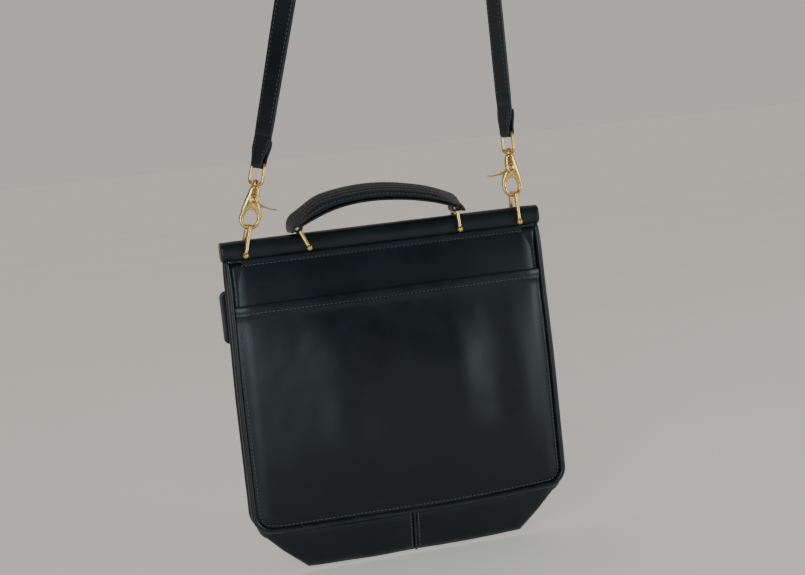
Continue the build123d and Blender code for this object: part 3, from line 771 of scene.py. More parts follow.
def makeGussets():
    low = bag["bottom"]
    r = gusset["cornerR"]
    for name, side in sides.items():
        outline = []
        for k in range(46):
            z = gusset["top"] + (low + r - gusset["top"]) * k / 45
            outline.append((Vector((sideX(z), 0, z)), Vector((1, 0, 0))))
        for k in range(1, 7):
            t = radians(-90 * k / 7)
            centre = Vector((bag["pipeX"] - r, 0, low + r))
            outward = Vector((cos(t), 0, sin(t)))
            outline.append((centre + outward * r, outward))
        for k in range(0, 47):
            x = (bag["pipeX"] - r) * (1 - k / 46)
            outline.append((Vector((x, 0, pipeBottom(x) + 1.0)), Vector((0, 0, -1))))
        walked = runLengths([spot for spot, _ in outline])
        corner = walked[48]
        count = 20
        half = bag["edgeY"] - 1.0
        rings = []
        for (spot, outward), distance in zip(outline, walked):
            fold = gussetFold(distance, corner)
            ring = []
            for k in range(count + 1):
                s = 2 * k / count - 1
                shape = 1 - abs(s) ** 1.25
                y = half * s * (1 - 0.25 * shape)
                reach = fold * shape
                drift = 0.8 * noise.noise(Vector((distance / 26, s * 1.5, side * 4))) * shape
                inward = Vector((-gusset["tuck"] if outward.x > 0.5 else 0, 0, 0))
                ring.append(spot + outward * (reach + drift) + Vector((0, y + drift * 0.6, 0)) + inward)
            rings.append(ring)
        # slant the keel's end: points past the corner lean towards the middle
        for ring, (spot, _), distance in zip(rings, outline, walked):
            if distance > corner:
                for p in ring:
                    p.x = min(p.x, bag["pipeX"] - 2 - max(spot.z - p.z, 0) * gusset["keelSlope"])

        def surface(u, v):
            p = rings[v][u]
            return (side * p.x, p.y, p.z)

        us = list(range(count + 1))[::side]
        points, faces = leatherSheet(surface, us, list(range(len(rings))), gusset["thick"], 0.9)
        piece = meshPiece(f"{name}Gusset", points, faces, leather, "bag")
        slotAndReplace(piece, "black_leather", f"{name}_gusset")
        # the bottom's middle seam, topstitched on both sides
        last = rings[-3]
        for facing in (-1, 1):
            line = [Vector((side * 3.4, p.y + facing * 0.9, p.z)) for p in last if p.y * facing > 0.4]
            line.sort(key=lambda p: p.z)
            sew("bag", line, [Vector((0, facing, 0))] * (len(line) - 1), {**stitchSize, "pitch": 3.2})
    # the ridge where the two halves meet
    path = []
    for p in rings[-1]:
        outward = 0 if abs(p.y) <= 0.5 else 0.9 if p.y > 0 else -0.9
        path.append(Vector((0, p.y + outward, p.z - (0.7 if abs(p.y) < 2 else 0))))
    points, faces = sweep(path, roundSection(1.25, 12), lambda i, t: Vector((1, 0, 0)))
    slotAndReplace(meshPiece("keelSeam", points, faces, pipingLeather, "bag"), "piping_leather")


frontSize = {"panelTop": -24.0, "pocketTop": -62.0, "hem": 6.5, "rowEnd": 0.985}


def makeFront():
    points, faces, _ = panelSheet(lambda x, z: frontY(x, z) - 0.4, 1, frontSize["panelTop"], 2.0)
    slotAndReplace(meshPiece("frontPanel", points, faces, leather, "bag"), "black_leather", "front_panel")
    pocketTop = frontSize["pocketTop"]
    hemLine = pocketTop - frontSize["hem"]
    points, faces, surface = panelSheet(lambda x, z: frontY(x, z) + 1.5, 1, pocketTop, 1.8, (hemLine,))
    slotAndReplace(meshPiece("frontPocket", points, faces, leather, "bag"), "black_leather", "front_pocket")
    path, normals = rowOn(surface, 1, hemLine, -frontSize["rowEnd"], frontSize["rowEnd"], 0.65)
    sew("bag", path, normals)


makeBack()
makePiping()
makeGussets()
makeFront()
print("bag body made")


# roll
roll = {"half": 140.0, "deep": 7.9, "high": 8.75}


def makeRoll():
    path, shapes = [], []
    ends = [0.985, 0.994, 0.9985, 1.0]
    stations = [-e for e in ends[::-1]] + [-0.97 + 1.94 * k / 70 for k in range(71)] + ends
    shrink = {1.0: 0.7, 0.9985: 0.88, 0.994: 0.97}
    for s in stations:
        x = s * roll["half"]
        path.append(Vector((x, 0, 0)))
        size = shrink.get(abs(s), 1.0)
        pinch = 0.35 * bell(abs(x), roll["half"] - 5, 3)
        ring = []
        for k in range(36):
            t = 2 * pi * k / 36
            dent = 0.25 * noise.noise(Vector((x / 22, cos(t) * 1.2, sin(t) * 1.2))) - pinch
            # a little squarer than an ellipse
            deep = roll["deep"] * size + dent - 0.3
            high = roll["high"] * size + dent - 0.2
            ring.append(softCorner(deep, high, t, 2.35))
        shapes.append(ring)
    points, faces = sweep(path, lambda i: shapes[i], lambda i, t: Vector((0, 1, 0)))
    piece = meshPiece("rollCover", points, faces, leather, "bag")
    slotAndReplace(piece, "black_leather", "top_roll")
    # the tail that is stitched inside the panel
    us = spread(-133.0, 133.0, 8)
    vs = spread(-7.0, -16.0, 2)
    points, faces = leatherSheet(lambda u, v: (u, -3.6 + 0.05 * (v + 7), v), us, vs, 1.5)
    slotAndReplace(meshPiece("rollTail", points, faces, leather, "bag"), "black_leather")


makeRoll()
print("roll made")


# dees
dee = {"rod": 1.9, "legY": 10.6, "bend": 4.2, "ball": 2.8}
deeBar = {}


def makeDee(name):
    pin = middleOf(name + "_pin")
    low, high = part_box(name)
    corner = middleOf(name)
    topZ = (high[2] - barMiddle.z) / mm - dee["rod"]
    lean = atan2((corner.x - pin.x), (topZ + pin.z) / 2 - pin.z) if abs(corner.x - pin.x) > 0.3 else 0.0
    span = ((high[0] - low[0]) / mm - dee["ball"] - dee["rod"])
    up = Vector((sin(lean), 0, cos(lean)))
    if abs(lean) > 0.01:
        tip = Vector((span if lean > 0 else -span, 0, topZ - pin.z))
        up = tip.normalized()
    reach = (topZ - pin.z) / up.z
    deeBar[name] = pin + up * reach
    y = Vector((0, dee["legY"], 0))
    corners = [pin - y, pin - y + up * reach, pin + y + up * reach, pin + y]
    path = bentPath(corners, dee["bend"])
    first, last = path[0], path[-1]
    path = [first] + [first.lerp(path[1], k / 5) for k in range(1, 5)] + path[1:-1]
    path += [path[-1].lerp(last, k / 5) for k in range(1, 5)] + [last]
    ends = len(path) - 1

    def girth(i):
        near = min(i, ends - i)
        return roundSection(dee["rod"] * (0.9 + 0.1 * smooth(near / 5)), 18)

    parts = [sweep(path, girth, lambda i, t: Vector((cos(lean), 0, -sin(lean))))]
    for facing in (-1, 1):
        foot = pin + y * facing
        parts.append(ball(foot, dee["ball"], (1, 0.96, 1), 12, 20))
        dome = foot + Vector((0, facing * (dee["ball"] - 0.35), 0))
        parts.append(ball(dome, 1.25, (1, 0.55, 1), 8, 14))
    points, faces = merge(parts)
    first, *rest = name.split("_")
    pieceName = first + "".join(word.title() for word in rest)
    slotAndReplace(meshPiece(pieceName, points, faces, brass, name), "brass", name)


for name in sides:
    makeDee(f"{name}_strap_dee")
    makeDee(f"{name}_handle_dee")
print("dees made")

# handle
handle = {"width": 24.5, "baseWidth": 14.0, "top": 35.4, "seat": 4.3, "lean": 24.0, "skew": 9.0,
          "padWidth": 20.5, "padRise": 4.2, "cover": 2.3, "overhang": 5.0, "drop": 8.0}


def archFrame():
    # the arch through both loops' tops, as an angle to point-and-direction function
    a = deeBar["left_handle_dee"] + Vector((0, 0, handle["seat"]))
    b = deeBar["right_handle_dee"] + Vector((0, 0, handle["seat"]))
    chord = b - a
    rise = handle["top"] - (a.z + b.z) / 2
    half = chord.length / 2
    radius = (half * half + rise * rise) / (2 * rise)
    return a, b, chord.normalized(), half, rise, radius


archA, archB, archAlong, archHalf, archRise, archR = archFrame()
archUp = Vector((-archAlong.z, 0, archAlong.x))
archMiddle = (archA + archB) / 2
archEnd = asin(archHalf / archR)


def archPoint(angle, lift):
    # a point over the chord at an angle from the arch's crown, leaning towards the back
    h = (archR + lift) * cos(angle) - archR + archRise
    share = min(max(h / archRise, 0), 1)
    x = (archR + lift) * sin(angle) - handle["skew"] * share ** 2
    lean = radians(handle["lean"])
    return archMiddle + archAlong * x + archUp * (h * cos(lean)) + Vector((0, -h * sin(lean), 0))


def archAcross():
    lean = radians(handle["lean"])
    return Vector((0, cos(lean), 0)) + archUp * sin(lean)


def makeHandle():
    # underlayer with its loops round the dees
    loopR = 3.4
    loopShape = strapSection(handle["baseWidth"], 1.5, 0.6)
    for name, way in (("left_handle_dee", -1), ("right_handle_dee", 1)):
        bar = deeBar[name]
        loop = [bar + Vector((-way * loopR * sin(radians(20 * k)), 0, loopR * cos(radians(20 * k))))
                for k in range(-1, 18)]
        points, faces = sweep(loop, loopShape, lambda i, t: Vector((0, 1, 0)))
        piece = meshPiece(f"{name.split('_')[0]}HandleLoop", points, faces, handleLeather, "handle", sharp=50)
        slotAndReplace(piece, "handle_leather")
    steps = 44
    angles = [archEnd * (2 * k / steps - 1) for k in range(steps + 1)]
    path = [archPoint(t, -0.4) for t in angles]
    points, faces = sweep(path, strapSection(handle["baseWidth"] + 7, 1.8, 0.7), lambda i, t: archAcross())
    base = meshPiece("handleBase", points, faces, handleLeather, "handle", sharp=50)
    slotAndReplace(base, "handle_leather", "handle_base")

    # the pad, fullest at the crown
    def padSection(i):
        share = 1 - abs(angles[i] / archEnd)
        full = 0.35 + 0.65 * smooth(share * 2.2)
        ring = []
        for k in range(28):
            t = 2 * pi * k / 28
            wide = handle["padWidth"] / 2 * (0.9 + 0.1 * full)
            ring.append((wide * cos(t) * abs(cos(t)) ** -0.25 if abs(cos(t)) > 0.01 else 0.0,
                         (handle["padRise"] / 2) * full * sin(t)))
        return ring

    path = [archPoint(t, 2.6 - 1.2 * smooth(abs(t) / archEnd * 2 - 0.9)) for t in angles]
    points, faces = sweep(path, padSection, lambda i, t: archAcross())
    pad = meshPiece("handlePad", points, faces, handleLeather, "handle")
    slotAndReplace(pad, "handle_leather", "handle_pad")

    # the cover: along the arch, then folded down past each dee
    reach = archEnd + handle["overhang"] / archR
    spans = [reach * (2 * k / 56 - 1) for k in range(57)]
    crown = [archPoint(t, 4.6 - 2.0 * smooth(abs(t) / reach * 2.2 - 1.1)) for t in spans]

    def corner(end, nextOne):
        # the fold between the drop and the arch
        tip = end + Vector((0, 0, -handle["drop"]))
        turned = end + (end - nextOne).normalized() * 0.5
        return [tip.lerp(turned, k / 8).lerp(turned.lerp(nextOne, k / 8), k / 8) for k in range(9)]

    line = corner(crown[0], crown[2]) + crown[3:-3] + corner(crown[-1], crown[-3])[::-1]
    walked = runLengths(line)
    total = walked[-1]

    def onLine(s):
        s = min(max(s, 0.0), total)
        for k in range(len(walked) - 1):
            if s <= walked[k + 1]:
                share = (s - walked[k]) / (walked[k + 1] - walked[k])
                return line[k].lerp(line[k + 1], share), (line[k + 1] - line[k]).normalized()
        return line[-1], (line[-1] - line[-2]).normalized()

    lean = archAcross()
    rows = (-10.3, -4.6, 4.6, 10.3)

    def puff(w, s):
        # the pad swells between the stitched rows, and dies away at both folds
        inner = min(s, total - s)
        full = smooth((inner - 12) / 26)
        dome = 2.1 * full * (1 - (abs(w) / 12.2) ** 2.6)
        lobes = 0.55 * sum(bell(w, row, 0.9) for row in rows) + 0.45 * bell(w, 0, 0.8)
        return dome - lobes * (0.35 + 0.65 * full)

    def surface(w, s):
        spot, ahead = onLine(s)
        across = (lean - ahead * lean.dot(ahead)).normalized()
        up = ahead.cross(across)
        wide = 1 - 0.06 * (1 - smooth((min(s, total - s)) / 20))
        return spot + across * w * wide + up * puff(w, s)

    half = handle["width"] / 2
    us = spread(-half, half, 1.4, rows)
    vs = spread(0.0, total, 2.6)
    points, faces = leatherSheet(surface, us, vs, handle["cover"], 0.9)
    piece = meshPiece("handleCover", points, faces, handleLeather, "handle")
    slotAndReplace(piece, "handle_leather", "handle_cover")
    for row in rows:
        spots, normals = [], []
        for k in range(161):
            s = 2.5 + (total - 5) * k / 160
            sideways = (surface(row + 0.4, s) - surface(row - 0.4, s)).normalized()
            ahead = (surface(row, s + 0.4) - surface(row, s - 0.4)).normalized()
            normal = ahead.cross(sideways)
            spots.append(surface(row, s) + normal * (handle["cover"] / 2 - 0.05))
            normals.append(normal)
        sew("handle", spots, normals[:-1])


makeHandle()
print("handle made")


# snaps and swivel eyes
snapSize = {"ring": 7.35, "eyeHalf": 7.25, "eyeRod": 1.5, "eyeLow": 29.4, "eyeTop": 46.5,
            "turn": {"left": 52.0, "right": 70.0}}


def roundedSection(width, thick, power=2.6, count=20):
    return [softCorner(width / 2, thick / 2, 2 * pi * k / count, power) for k in range(count)]


def smoothLine(stations, steps=6):
    # a Catmull-Rom line through stations, each a tuple of numbers
    line = []
    count = len(stations)
    for k in range(count - 1):
        a, b = stations[max(k - 1, 0)], stations[k]
        c, d = stations[k + 1], stations[min(k + 2, count - 1)]
        for j in range(steps):
            t = j / steps
            line.append(tuple(0.5 * (2 * q + (r - p) * t + (2 * p - 5 * q + 4 * r - s) * t * t
                                     + (3 * q - p - 3 * r + s) * t ** 3) for p, q, r, s in zip(a, b, c, d)))
    line.append(tuple(stations[-1]))
    return line


def lathe(centre, axis, profile, count=24):
    # (radius, height) pairs turned about an axis
    axis = axis.normalized()
    side = axis.cross(Vector((0, 1, 0)))
    side = side.normalized() if side.length > 0.1 else Vector((1, 0, 0))
    other = axis.cross(side)
    points = []
    for radius, height in profile:
        for k in range(count):
            t = 2 * pi * k / count
            points.append(centre + axis * height + (side * cos(t) + other * sin(t)) * radius)
    faces = ringFaces(len(profile), count)
    faces.append(tuple(range(count - 1, -1, -1)))
    faces.append(tuple(range(len(points) - count, len(points))))
    return points, faces


def makeSnap(name, side):
    inward = -side
    up = joint[f"{name}_snap_swivel axis"].normalized()
    base = Vector((up.z, 0, -up.x)) * inward
    ring = joint[f"{name}_snap_swivel"]

    def spot(u, v, w=0.0):
        return ring + base * u + up * v + Vector((0, w, 0))

    def cast(stations, ends=(0.55, 0.6)):
        line = smoothLine(stations)
        path = [spot(u, v) for u, v, _, _ in line]
        last = len(line) - 1

        def section(i):
            near = min(i / 2.5, 1.0)
            far = min((last - i) / 2.5, 1.0)
            shrink = (ends[0] + (1 - ends[0]) * sqrt(1 - (1 - near) ** 2)) * (
                ends[1] + (1 - ends[1]) * sqrt(1 - (1 - far) ** 2))
            return roundedSection(line[i][2] * shrink, line[i][3] * (0.5 + 0.5 * shrink))

        return sweep(path, section, lambda i, t: t.cross(Vector((0, 1, 0))))

    body = [(0.0, 26.6, 7.8, 4.6), (0.0, 24.0, 9.2, 5.0), (-0.2, 20.5, 10.4, 5.2), (-0.8, 17.0, 11.0, 5.2),
            (-2.2, 13.6, 10.2, 5.0), (-3.8, 10.6, 8.0, 4.9), (-5.6, 7.4, 5.8, 4.7)]
    for angle in (152, 172, 192, 212, 232, 252, 272, 292, 312, 332, 355):
        t = radians(angle)
        thin = 4.1 - 0.7 * smooth((angle - 152) / 180)
        body.append((snapSize["ring"] * cos(t), snapSize["ring"] * sin(t), thin, 4.3))
    web = [(-1.9, 14.0, 9.0, 4.2), (-1.3, 11.4, 8.0, 4.2), (-0.8, 9.2, 6.6, 4.0), (-0.6, 7.4, 4.8, 3.6)]
    neck = lathe(spot(0, 0), up, [(0.4, 25.9), (3.3, 26.0), (3.9, 26.4), (3.9, 27.2), (3.3, 27.7),
                                  (2.1, 27.9), (1.6, 28.1), (1.6, 31.0), (2.6, 31.2), (3.0, 31.7),
                                  (2.8, 32.5), (1.8, 33.2), (0.4, 33.5)])
    points, faces = merge([cast(body, (0.55, 0.85)), cast(web), neck])
    slotAndReplace(meshPiece(f"{name}Snap", points, faces, brass, f"{name}_snap", sharp=50), "brass",
                   f"{name}_snap")

    # trigger: hub cheeks, the gate and the thumb lever
    gate = [(0.9, 14.8, 8.4, 6.3), (2.9, 11.8, 7.6, 6.1), (4.9, 8.8, 5.8, 5.3), (6.7, 5.8, 4.5, 4.6),
            (7.5, 2.9, 3.9, 4.3), (7.45, -0.3, 3.6, 4.2)]
    lever = [(1.6, 14.8, 4.6, 6.0), (6.4, 12.5, 3.0, 5.4), (11.5, 11.5, 1.7, 5.0), (16.2, 10.9, 1.4, 5.0),
             (19.4, 10.9, 1.5, 5.4), (21.0, 11.3, 1.8, 5.6)]
    parts = [cast(gate, (0.55, 0.85)), cast(lever)]
    hubMiddle = spot(0.4, 16.8)
    for facing in (-1, 1):
        out = Vector((0, facing, 0))
        parts.append(lathe(hubMiddle, out, [(3.6, 2.3), (4.35, 2.55), (4.4, 3.0), (4.1, 3.5), (3.4, 3.75),
                                            (2.7, 3.7), (2.45, 3.4), (0.5, 3.35)]))
    points, faces = merge(parts)
    slotAndReplace(meshPiece(f"{name}Trigger", points, faces, brass, f"{name}_trigger", sharp=50), "brass",
                   f"{name}_trigger")
    rivetHead = [(1.9, 3.3), (1.9, 3.8), (1.6, 4.2), (0.9, 4.4), (0.3, 4.42)]
    points, faces = merge([lathe(hubMiddle, Vector((0, facing, 0)), rivetHead, 18) for facing in (-1, 1)])
    pin = f"{name}_trigger_pin"
    slotAndReplace(meshPiece(f"{name}TriggerPin", points, faces, brass, bodyOf(pin)), "brass", pin)

    # the eye, turned so that it lies in the strap's plane
    turn = radians(snapSize["turn"][name])
    along = Vector((up.z, 0, -up.x))
    wide = along * cos(turn) + Vector((0, -sin(turn), 0))
    loop = []
    half, low, top, bend = snapSize["eyeHalf"], snapSize["eyeLow"], snapSize["eyeTop"], 3.6
    for cx, cz, start in ((1, 1, 0), (-1, 1, 90), (-1, -1, 180), (1, -1, 270)):
        for k in range(8):
            t = radians(start + 90 * k / 7)
            middle = (top - bend) if cz > 0 else (low + bend)
            loop.append(ring + wide * (cx * (half - bend) + bend * cos(t)) + up * (middle + bend * sin(t)))
    outward = wide.cross(up)
    points, faces = merge([
        sweep(loop, roundSection(snapSize["eyeRod"], 14), lambda i, t: outward, closed=True),
        lathe(ring, up, [(2.3, low - 1.3), (3.1, low - 1.2), (3.3, low - 0.6), (3.3, low + 0.7),
                         (2.9, low + 1.3), (2.0, low + 1.4)]),
    ])
    eye = f"{name}_eye"
    slotAndReplace(meshPiece(f"{name}Eye", points, faces, brass, eye, sharp=60), "brass", eye)
    return ring, up, wide, outward


snapFrame = {name: makeSnap(name, side) for name, side in sides.items()}
print("snaps made")


# shoulder strap
strap = {"width": 19.0, "thick": 3.0, "length": 1.034,
         "route": [(-0.1707, -0.4844), (-0.0655, -0.1175), (-0.0341, -0.0079), (0.0065, 0.0064),
                   (0.0416, -0.0185), (0.0416, -0.1325), (0.0416, -0.4805)]}


def strapLine():
    curve = bpy.data.curves.new("strapRoute", "CURVE")
    curve.dimensions = "3D"
    spline = curve.splines.new("NURBS")
    spline.points.add(len(strap["route"]) - 1)
    for point, (x, z) in zip(spline.points, strap["route"]):
        point.co = (x, 0, z, 1)
    spline.order_u = 3
    spline.use_endpoint_u = True
    spline.resolution_u = 24
    guide = bpy.data.objects.new("strapRoute", curve)
    bpy.context.collection.objects.link(guide)
    mesh = bpy.data.meshes.new_from_object(guide)
    found = [v.co.copy() for v in mesh.vertices]
    bpy.data.objects.remove(guide)
    bpy.data.meshes.remove(mesh)
    if (found[0] - Vector((strap["route"][0][0], 0, strap["route"][0][1]))).length > 0.01:
        found.reverse()
    return found


def makeStrap():
    rough = strapLine()
    walked = runLengths(rough)
    total = walked[-1]
    line = []
    k = 0
    count = 300
    for j in range(count + 1):
        s = total * j / count
        while k < len(walked) - 2 and walked[k + 1] < s:
            k += 1
        share = (s - walked[k]) / max(walked[k + 1] - walked[k], 1e-9)
        line.append(rough[k].lerp(rough[k + 1], min(max(share, 0), 1)))

    def turnAt(s):
        # the strap's twist: from the snaps' turn to edge-on over what it hangs from
        if s < total / 2:
            return 52 - 20 * smooth(s / 0.15) + 58 * smooth((s - 0.17) / 0.26)
        back = total - s
        return 70 + 20 * smooth((back - 0.15) / 0.25)

    path = [(p - barMiddle) / mm for p in line]
    wides = []
    ahead = tangents(path)
    for j, t in enumerate(ahead):
        turn = radians(turnAt(total * j / count))
        flat = Vector((t.z, 0, -t.x)) * (1 if t.z > 0 else -1)
        wides.append((flat * cos(turn) + Vector((0, -sin(turn), 0))).normalized())

    def girth(i):
        near = min(i, count - i)
        slim = 0.75 + 0.25 * smooth(near / 4)
        return strapSection(strap["width"], strap["thick"] * slim, 0.9)

    points, faces = sweep(path, girth, lambda i, t: wides[i])
    ribbon = meshPiece("shoulderStrap", points, faces, strapLeather, "bag", sharp=60)
    slotAndReplace(ribbon, "strap_leather", "shoulder_strap")
    rows = []
    for edge in (-1, 1):
        for face in (-1, 1):
            spots = []
            outs = [t.cross(w).normalized() * face for w, t in zip(wides, ahead)]
            for p, w, out in zip(path, wides, outs):
                spots.append(p + w * edge * (strap["width"] / 2 - 2.6) + out * (strap["thick"] / 2 - 0.05))
            rows.append(stitches(spots[3:-3], outs[3:-4], {**stitchSize, "pitch": 3.9}))
    points, faces = merge(rows)
    seam = slotAndReplace(meshPiece("strapStitches", points, faces, thread, "bag"), "strap_leather")
    return ribbon, seam, line, total


def makeStrapEnd(name):
    ring, up, wide, outward = snapFrame[name]
    # which way the fold lies back: behind, as seen from the bag's back
    back = outward if outward.y > 0 else -outward
    bar = snapSize["eyeTop"]
    radius = 2.95
    stations = [(0.0, 72.0, 18.4), (0.0, 67.5, 19.0), (-0.7, 63.0, 18.6), (-1.3, 58.5, 17.6),
                (-1.9, 54.5, 15.0), (-2.5, 50.8, 12.6)]
    line = smoothLine(stations, 5)
    for k in range(1, 13):
        a = radians(192 + 156 * k / 13)
        line.append((radius * cos(a), bar + radius * sin(a), 11.6 - 0.6 * sin(pi * k / 13)))
    tail = [(2.5, 50.8, 12.4), (2.2, 54.5, 14.6), (2.35, 58.5, 16.6), (2.75, 62.0, 17.0), (2.9, 65.5, 16.4),
            (2.9, 66.6, 15.4)]
    line += smoothLine(tail, 5)
    path = [ring + back * t + up * v for t, v, _ in line]
    points, faces = sweep(path, lambda i: strapSection(line[i][2], 2.1, 0.7), lambda i, t: wide)
    piece = meshPiece(f"{name}StrapEnd", points, faces, strapLeather, "bag", sharp=60)
    slotAndReplace(piece, "strap_leather", f"{name}_strap_end")
    rows = []
    for edge in (-1, 1):
        front = [(ring + back * (t - 1.0) + up * v + wide * edge * (w / 2 - 2.2)) for t, v, w in line
                 if t <= 0.01 and 53 < v < 70]
        rows.append(stitches(front, [-back] * (len(front) - 1), {**stitchSize, "pitch": 3.0}))
        rear = [(ring + back * (t + 1.0) + up * v + wide * edge * (w / 2 - 2.2)) for t, v, w in line
                if t > 2.0 and 53 < v < 66]
        rows.append(stitches(rear, [back] * (len(rear) - 1), {**stitchSize, "pitch": 3.0}))
    points, faces = merge(rows)
    seam = slotAndReplace(meshPiece(f"{name}StrapEndStitches", points, faces, thread, "bag"), "strap_leather")
    return piece, seam


strapPiece, strapSeam, strapPath, strapTotal = makeStrap()
strapEnds = [piece for name in sides for piece in makeStrapEnd(name)]
print("strap made")


# flap
flapSize = {"half": 134.0, "top": -14.0, "low": -118.0, "corner": 26.0, "lift": 6.3, "thick": 2.0,
            "topY": 12.9, "hole": (12.5, 6.0), "lock": -100.0}


def flapY(x, z):
    # flat under the dees' feet, then standing off the front
    settle = smooth((flapSize["top"] - z) / 14)
    return flapSize["topY"] * (1 - settle) + (frontY(x, max(z, flapSize["low"])) + flapSize["lift"]) * settle


def makeFlap():
    thick = flapSize["thick"]
    hinge = joint["flap_lift"]
    lock = flapSize["lock"]
    holeW, holeH = flapSize["hole"]
    width = flapSize["half"]
    us = [u / width for u in spread(-width, width, 4.2)]
    us = sorted(set(us + [-holeW / width, holeW / width]))
    run = [8.0, 7.9, 7.6, 7.0, 5.6, 4.2, 2.8, 1.4, 0.0]
    vs = run[:-1] + [v for v in spread(0.0, flapSize["low"] - flapSize["top"], 3.8)]
    extra = [lock + holeH - flapSize["top"], lock - holeH - flapSize["top"]]
    vs = sorted(set([v for v in vs if min(abs(v - e) for e in extra) > 0.9] + extra), reverse=True)

    def surface(u, v):
        z = flapSize["top"] + v
        if v >= 0:
            # over the hinge and back under the roll's front
            t = v / 8.0
            x = u * width
            start = Vector((x, flapY(x, flapSize["top"]), flapSize["top"]))
            a = Vector((x, flapSize["topY"], flapSize["top"] + 2.2))
            end = Vector((x, 5.2, -9.9))
            return start.lerp(a, t).lerp(a.lerp(end, t), t)
        up = z - flapSize["low"]
        half = roundedHalf(width, flapSize["corner"], up)
        x = u * half
        y = flapY(x, z)
        edge = min(half - abs(x), up)
        return (x, y - 0.7 * (1 - smooth(edge / 7)), z)

    def inHole(u, v):
        return abs(u * width) < holeW - 0.01 and extra[1] + 0.01 < v < extra[0] - 0.01

    points, faces = leatherSheet(lambda u, v: surface(-u, v), [-u for u in us[::-1]], vs, thick, 1.0, inHole)
    piece = meshPiece("flapSheet", points, faces, leather, None)
    slotAndReplace(piece, "black_leather", "flap", "flap_root")
    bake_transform(piece, "bag", "flap", place((0, 4.0, -9.0)), place((0, hinge.y + 4.0, flapSize["top"] - 3.0)))
    inset = 4.2
    edge = []
    r = flapSize["corner"] - inset
    low = flapSize["low"] + inset
    half = width - inset
    for k in range(40):
        edge.append((-half, -22 + (low + r + 22) * k / 40))
    for k in range(10):
        t = radians(180 + 90 * k / 9)
        edge.append((-half + r + r * cos(t), low + r + r * sin(t)))
    for k in range(1, 80):
        edge.append(((-half + r) * (1 - 2 * k / 80), low))
    edge += [(-x, z) for x, z in reversed(edge[:50])]
    path = [Vector((x, flapY(x, z) + thick / 2 - 0.35, z)) for x, z in edge]
    sew("flap", path, [Vector((0, 1, 0))] * (len(path) - 1))


def stadium(half, radius, count=12):
    # the outline of a slot, counter-clockwise
    outline = []
    for side in (1, -1):
        for k in range(count + 1):
            t = radians((-90 if side > 0 else 90) + 180 * k / count)
            outline.append((side * (half - radius) + radius * cos(t), radius * sin(t)))
    return outline


def makeTurnlock():
    lock = flapSize["lock"]
    plate = middleOf("flap_plate")
    outline = stadium(14.5, 8.0)
    path = [Vector((x, plate.y - 0.1, lock + z)) for x, z in outline]
    points, faces = sweep(path, roundedSection(4.2, 1.5, 3.0, 16), lambda i, t: t.cross(Vector((0, 1, 0))),
                          closed=True)
    slotAndReplace(meshPiece("flapPlate", points, faces, brass, "flap"), "brass", "flap_plate")
    base = middleOf("turnlock_base")
    points, faces = lathe(Vector((0, base.y, lock)), Vector((0, 1, 0)),
                          [(4.6, -0.6), (4.9, 0.0), (4.6, 0.5), (3.4, 0.8), (2.7, 0.8)])
    for p in points:
        p.x *= 1.9
    slotAndReplace(meshPiece("turnlockBase", points, faces, brass, "bag"), "brass", "turnlock_base")
    knobLow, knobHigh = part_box("turnlock_knob")
    outer = (knobHigh[1] - barMiddle.y) / mm
    inner = (knobLow[1] - barMiddle.y) / mm
    line = [-10, -9.8, -9.2, -8, -6, -3, 0, 3, 6, 8, 9.2, 9.8, 10]
    path = [Vector((x, outer - 2.0, lock)) for x in line]

    def knobSection(i):
        x = abs(line[i])
        size = sqrt(max(1 - (x / 10.2) ** 4, 0.01))
        return roundedSection(4.0 * size, 5.0 * size * (1 - 0.1 * (1 - x / 10)), 2.8, 20)

    stem = lathe(Vector((0, 0, lock)), Vector((0, 1, 0)),
                 [(2.3, inner), (2.3, outer - 3.6), (2.9, outer - 3.2), (2.9, outer - 2.6)], 20)
    points, faces = merge([sweep(path, knobSection, lambda i, t: Vector((0, 1, 0))), stem])
    knob = meshPiece("turnlockKnob", points, faces, brass, "turnlock", sharp=60)
    slotAndReplace(knob, "brass", "turnlock_knob")


def makeTag():
    low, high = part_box("hang_tag")
    middle = middleOf("hang_tag")
    wide = (high[0] - low[0]) / mm
    tall = (high[2] - low[2]) / mm
    cornerR = 5.0

    def surface(u, v):
        half = roundedHalf(wide / 2, cornerR, tall / 2 - abs(v))
        line = 0.22 * exp(-((min(wide / 2 - abs(u * wide / 2), tall / 2 - abs(v)) - 2.6) / 0.5) ** 2)
        return (middle.x - u * half, middle.y + 0.25 * sin(v / 9) - line, middle.z + v)

    us = [u / (wide / 2) for u in spread(-wide / 2, wide / 2, 1.6, (), 0.9)]
    vs = spread(tall / 2, -tall / 2, 1.6, (), 0.9)
    points, faces = leatherSheet(surface, us, vs, 2.1, 0.9)
    slotAndReplace(meshPiece("hangTag", points, faces, leather, "tag"), "black_leather", "hang_tag")
    lace = middleOf("tag_lace")
    laceLow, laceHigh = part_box("tag_lace")
    top = (laceHigh[2] - barMiddle.z) / mm
    bottom = (laceLow[2] - barMiddle.z) / mm
    path = [Vector((lace.x, lace.y + 0.35 * sin(k / 14 * pi), top + (bottom - top) * k / 14))
            for k in range(15)]
    points, faces = sweep(path, strapSection(5.0, 1.2, 0.5), lambda i, t: Vector((1, 0, 0)))
    slotAndReplace(meshPiece("tagLace", points, faces, strapLeather, "tag"), "strap_leather", "tag_lace")
    rivet = middleOf("tag_rivet")
    rivetLow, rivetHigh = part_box("tag_rivet")
    front = (rivetHigh[1] - barMiddle.y) / mm
    rear = (rivetLow[1] - barMiddle.y) / mm
    points, faces = lathe(Vector((rivet.x, 0, rivet.z)), Vector((0, 1, 0)),
                          [(1.25, rear), (1.25, front - 1.0), (2.3, front - 0.95), (2.3, front - 0.6),
                           (1.9, front - 0.2), (1.0, front), (0.3, front + 0.05)], 20)
    owner = bodyOf("tag_rivet")
    slotAndReplace(meshPiece("tagRivet", points, faces, brass, owner), "brass", "tag_rivet")


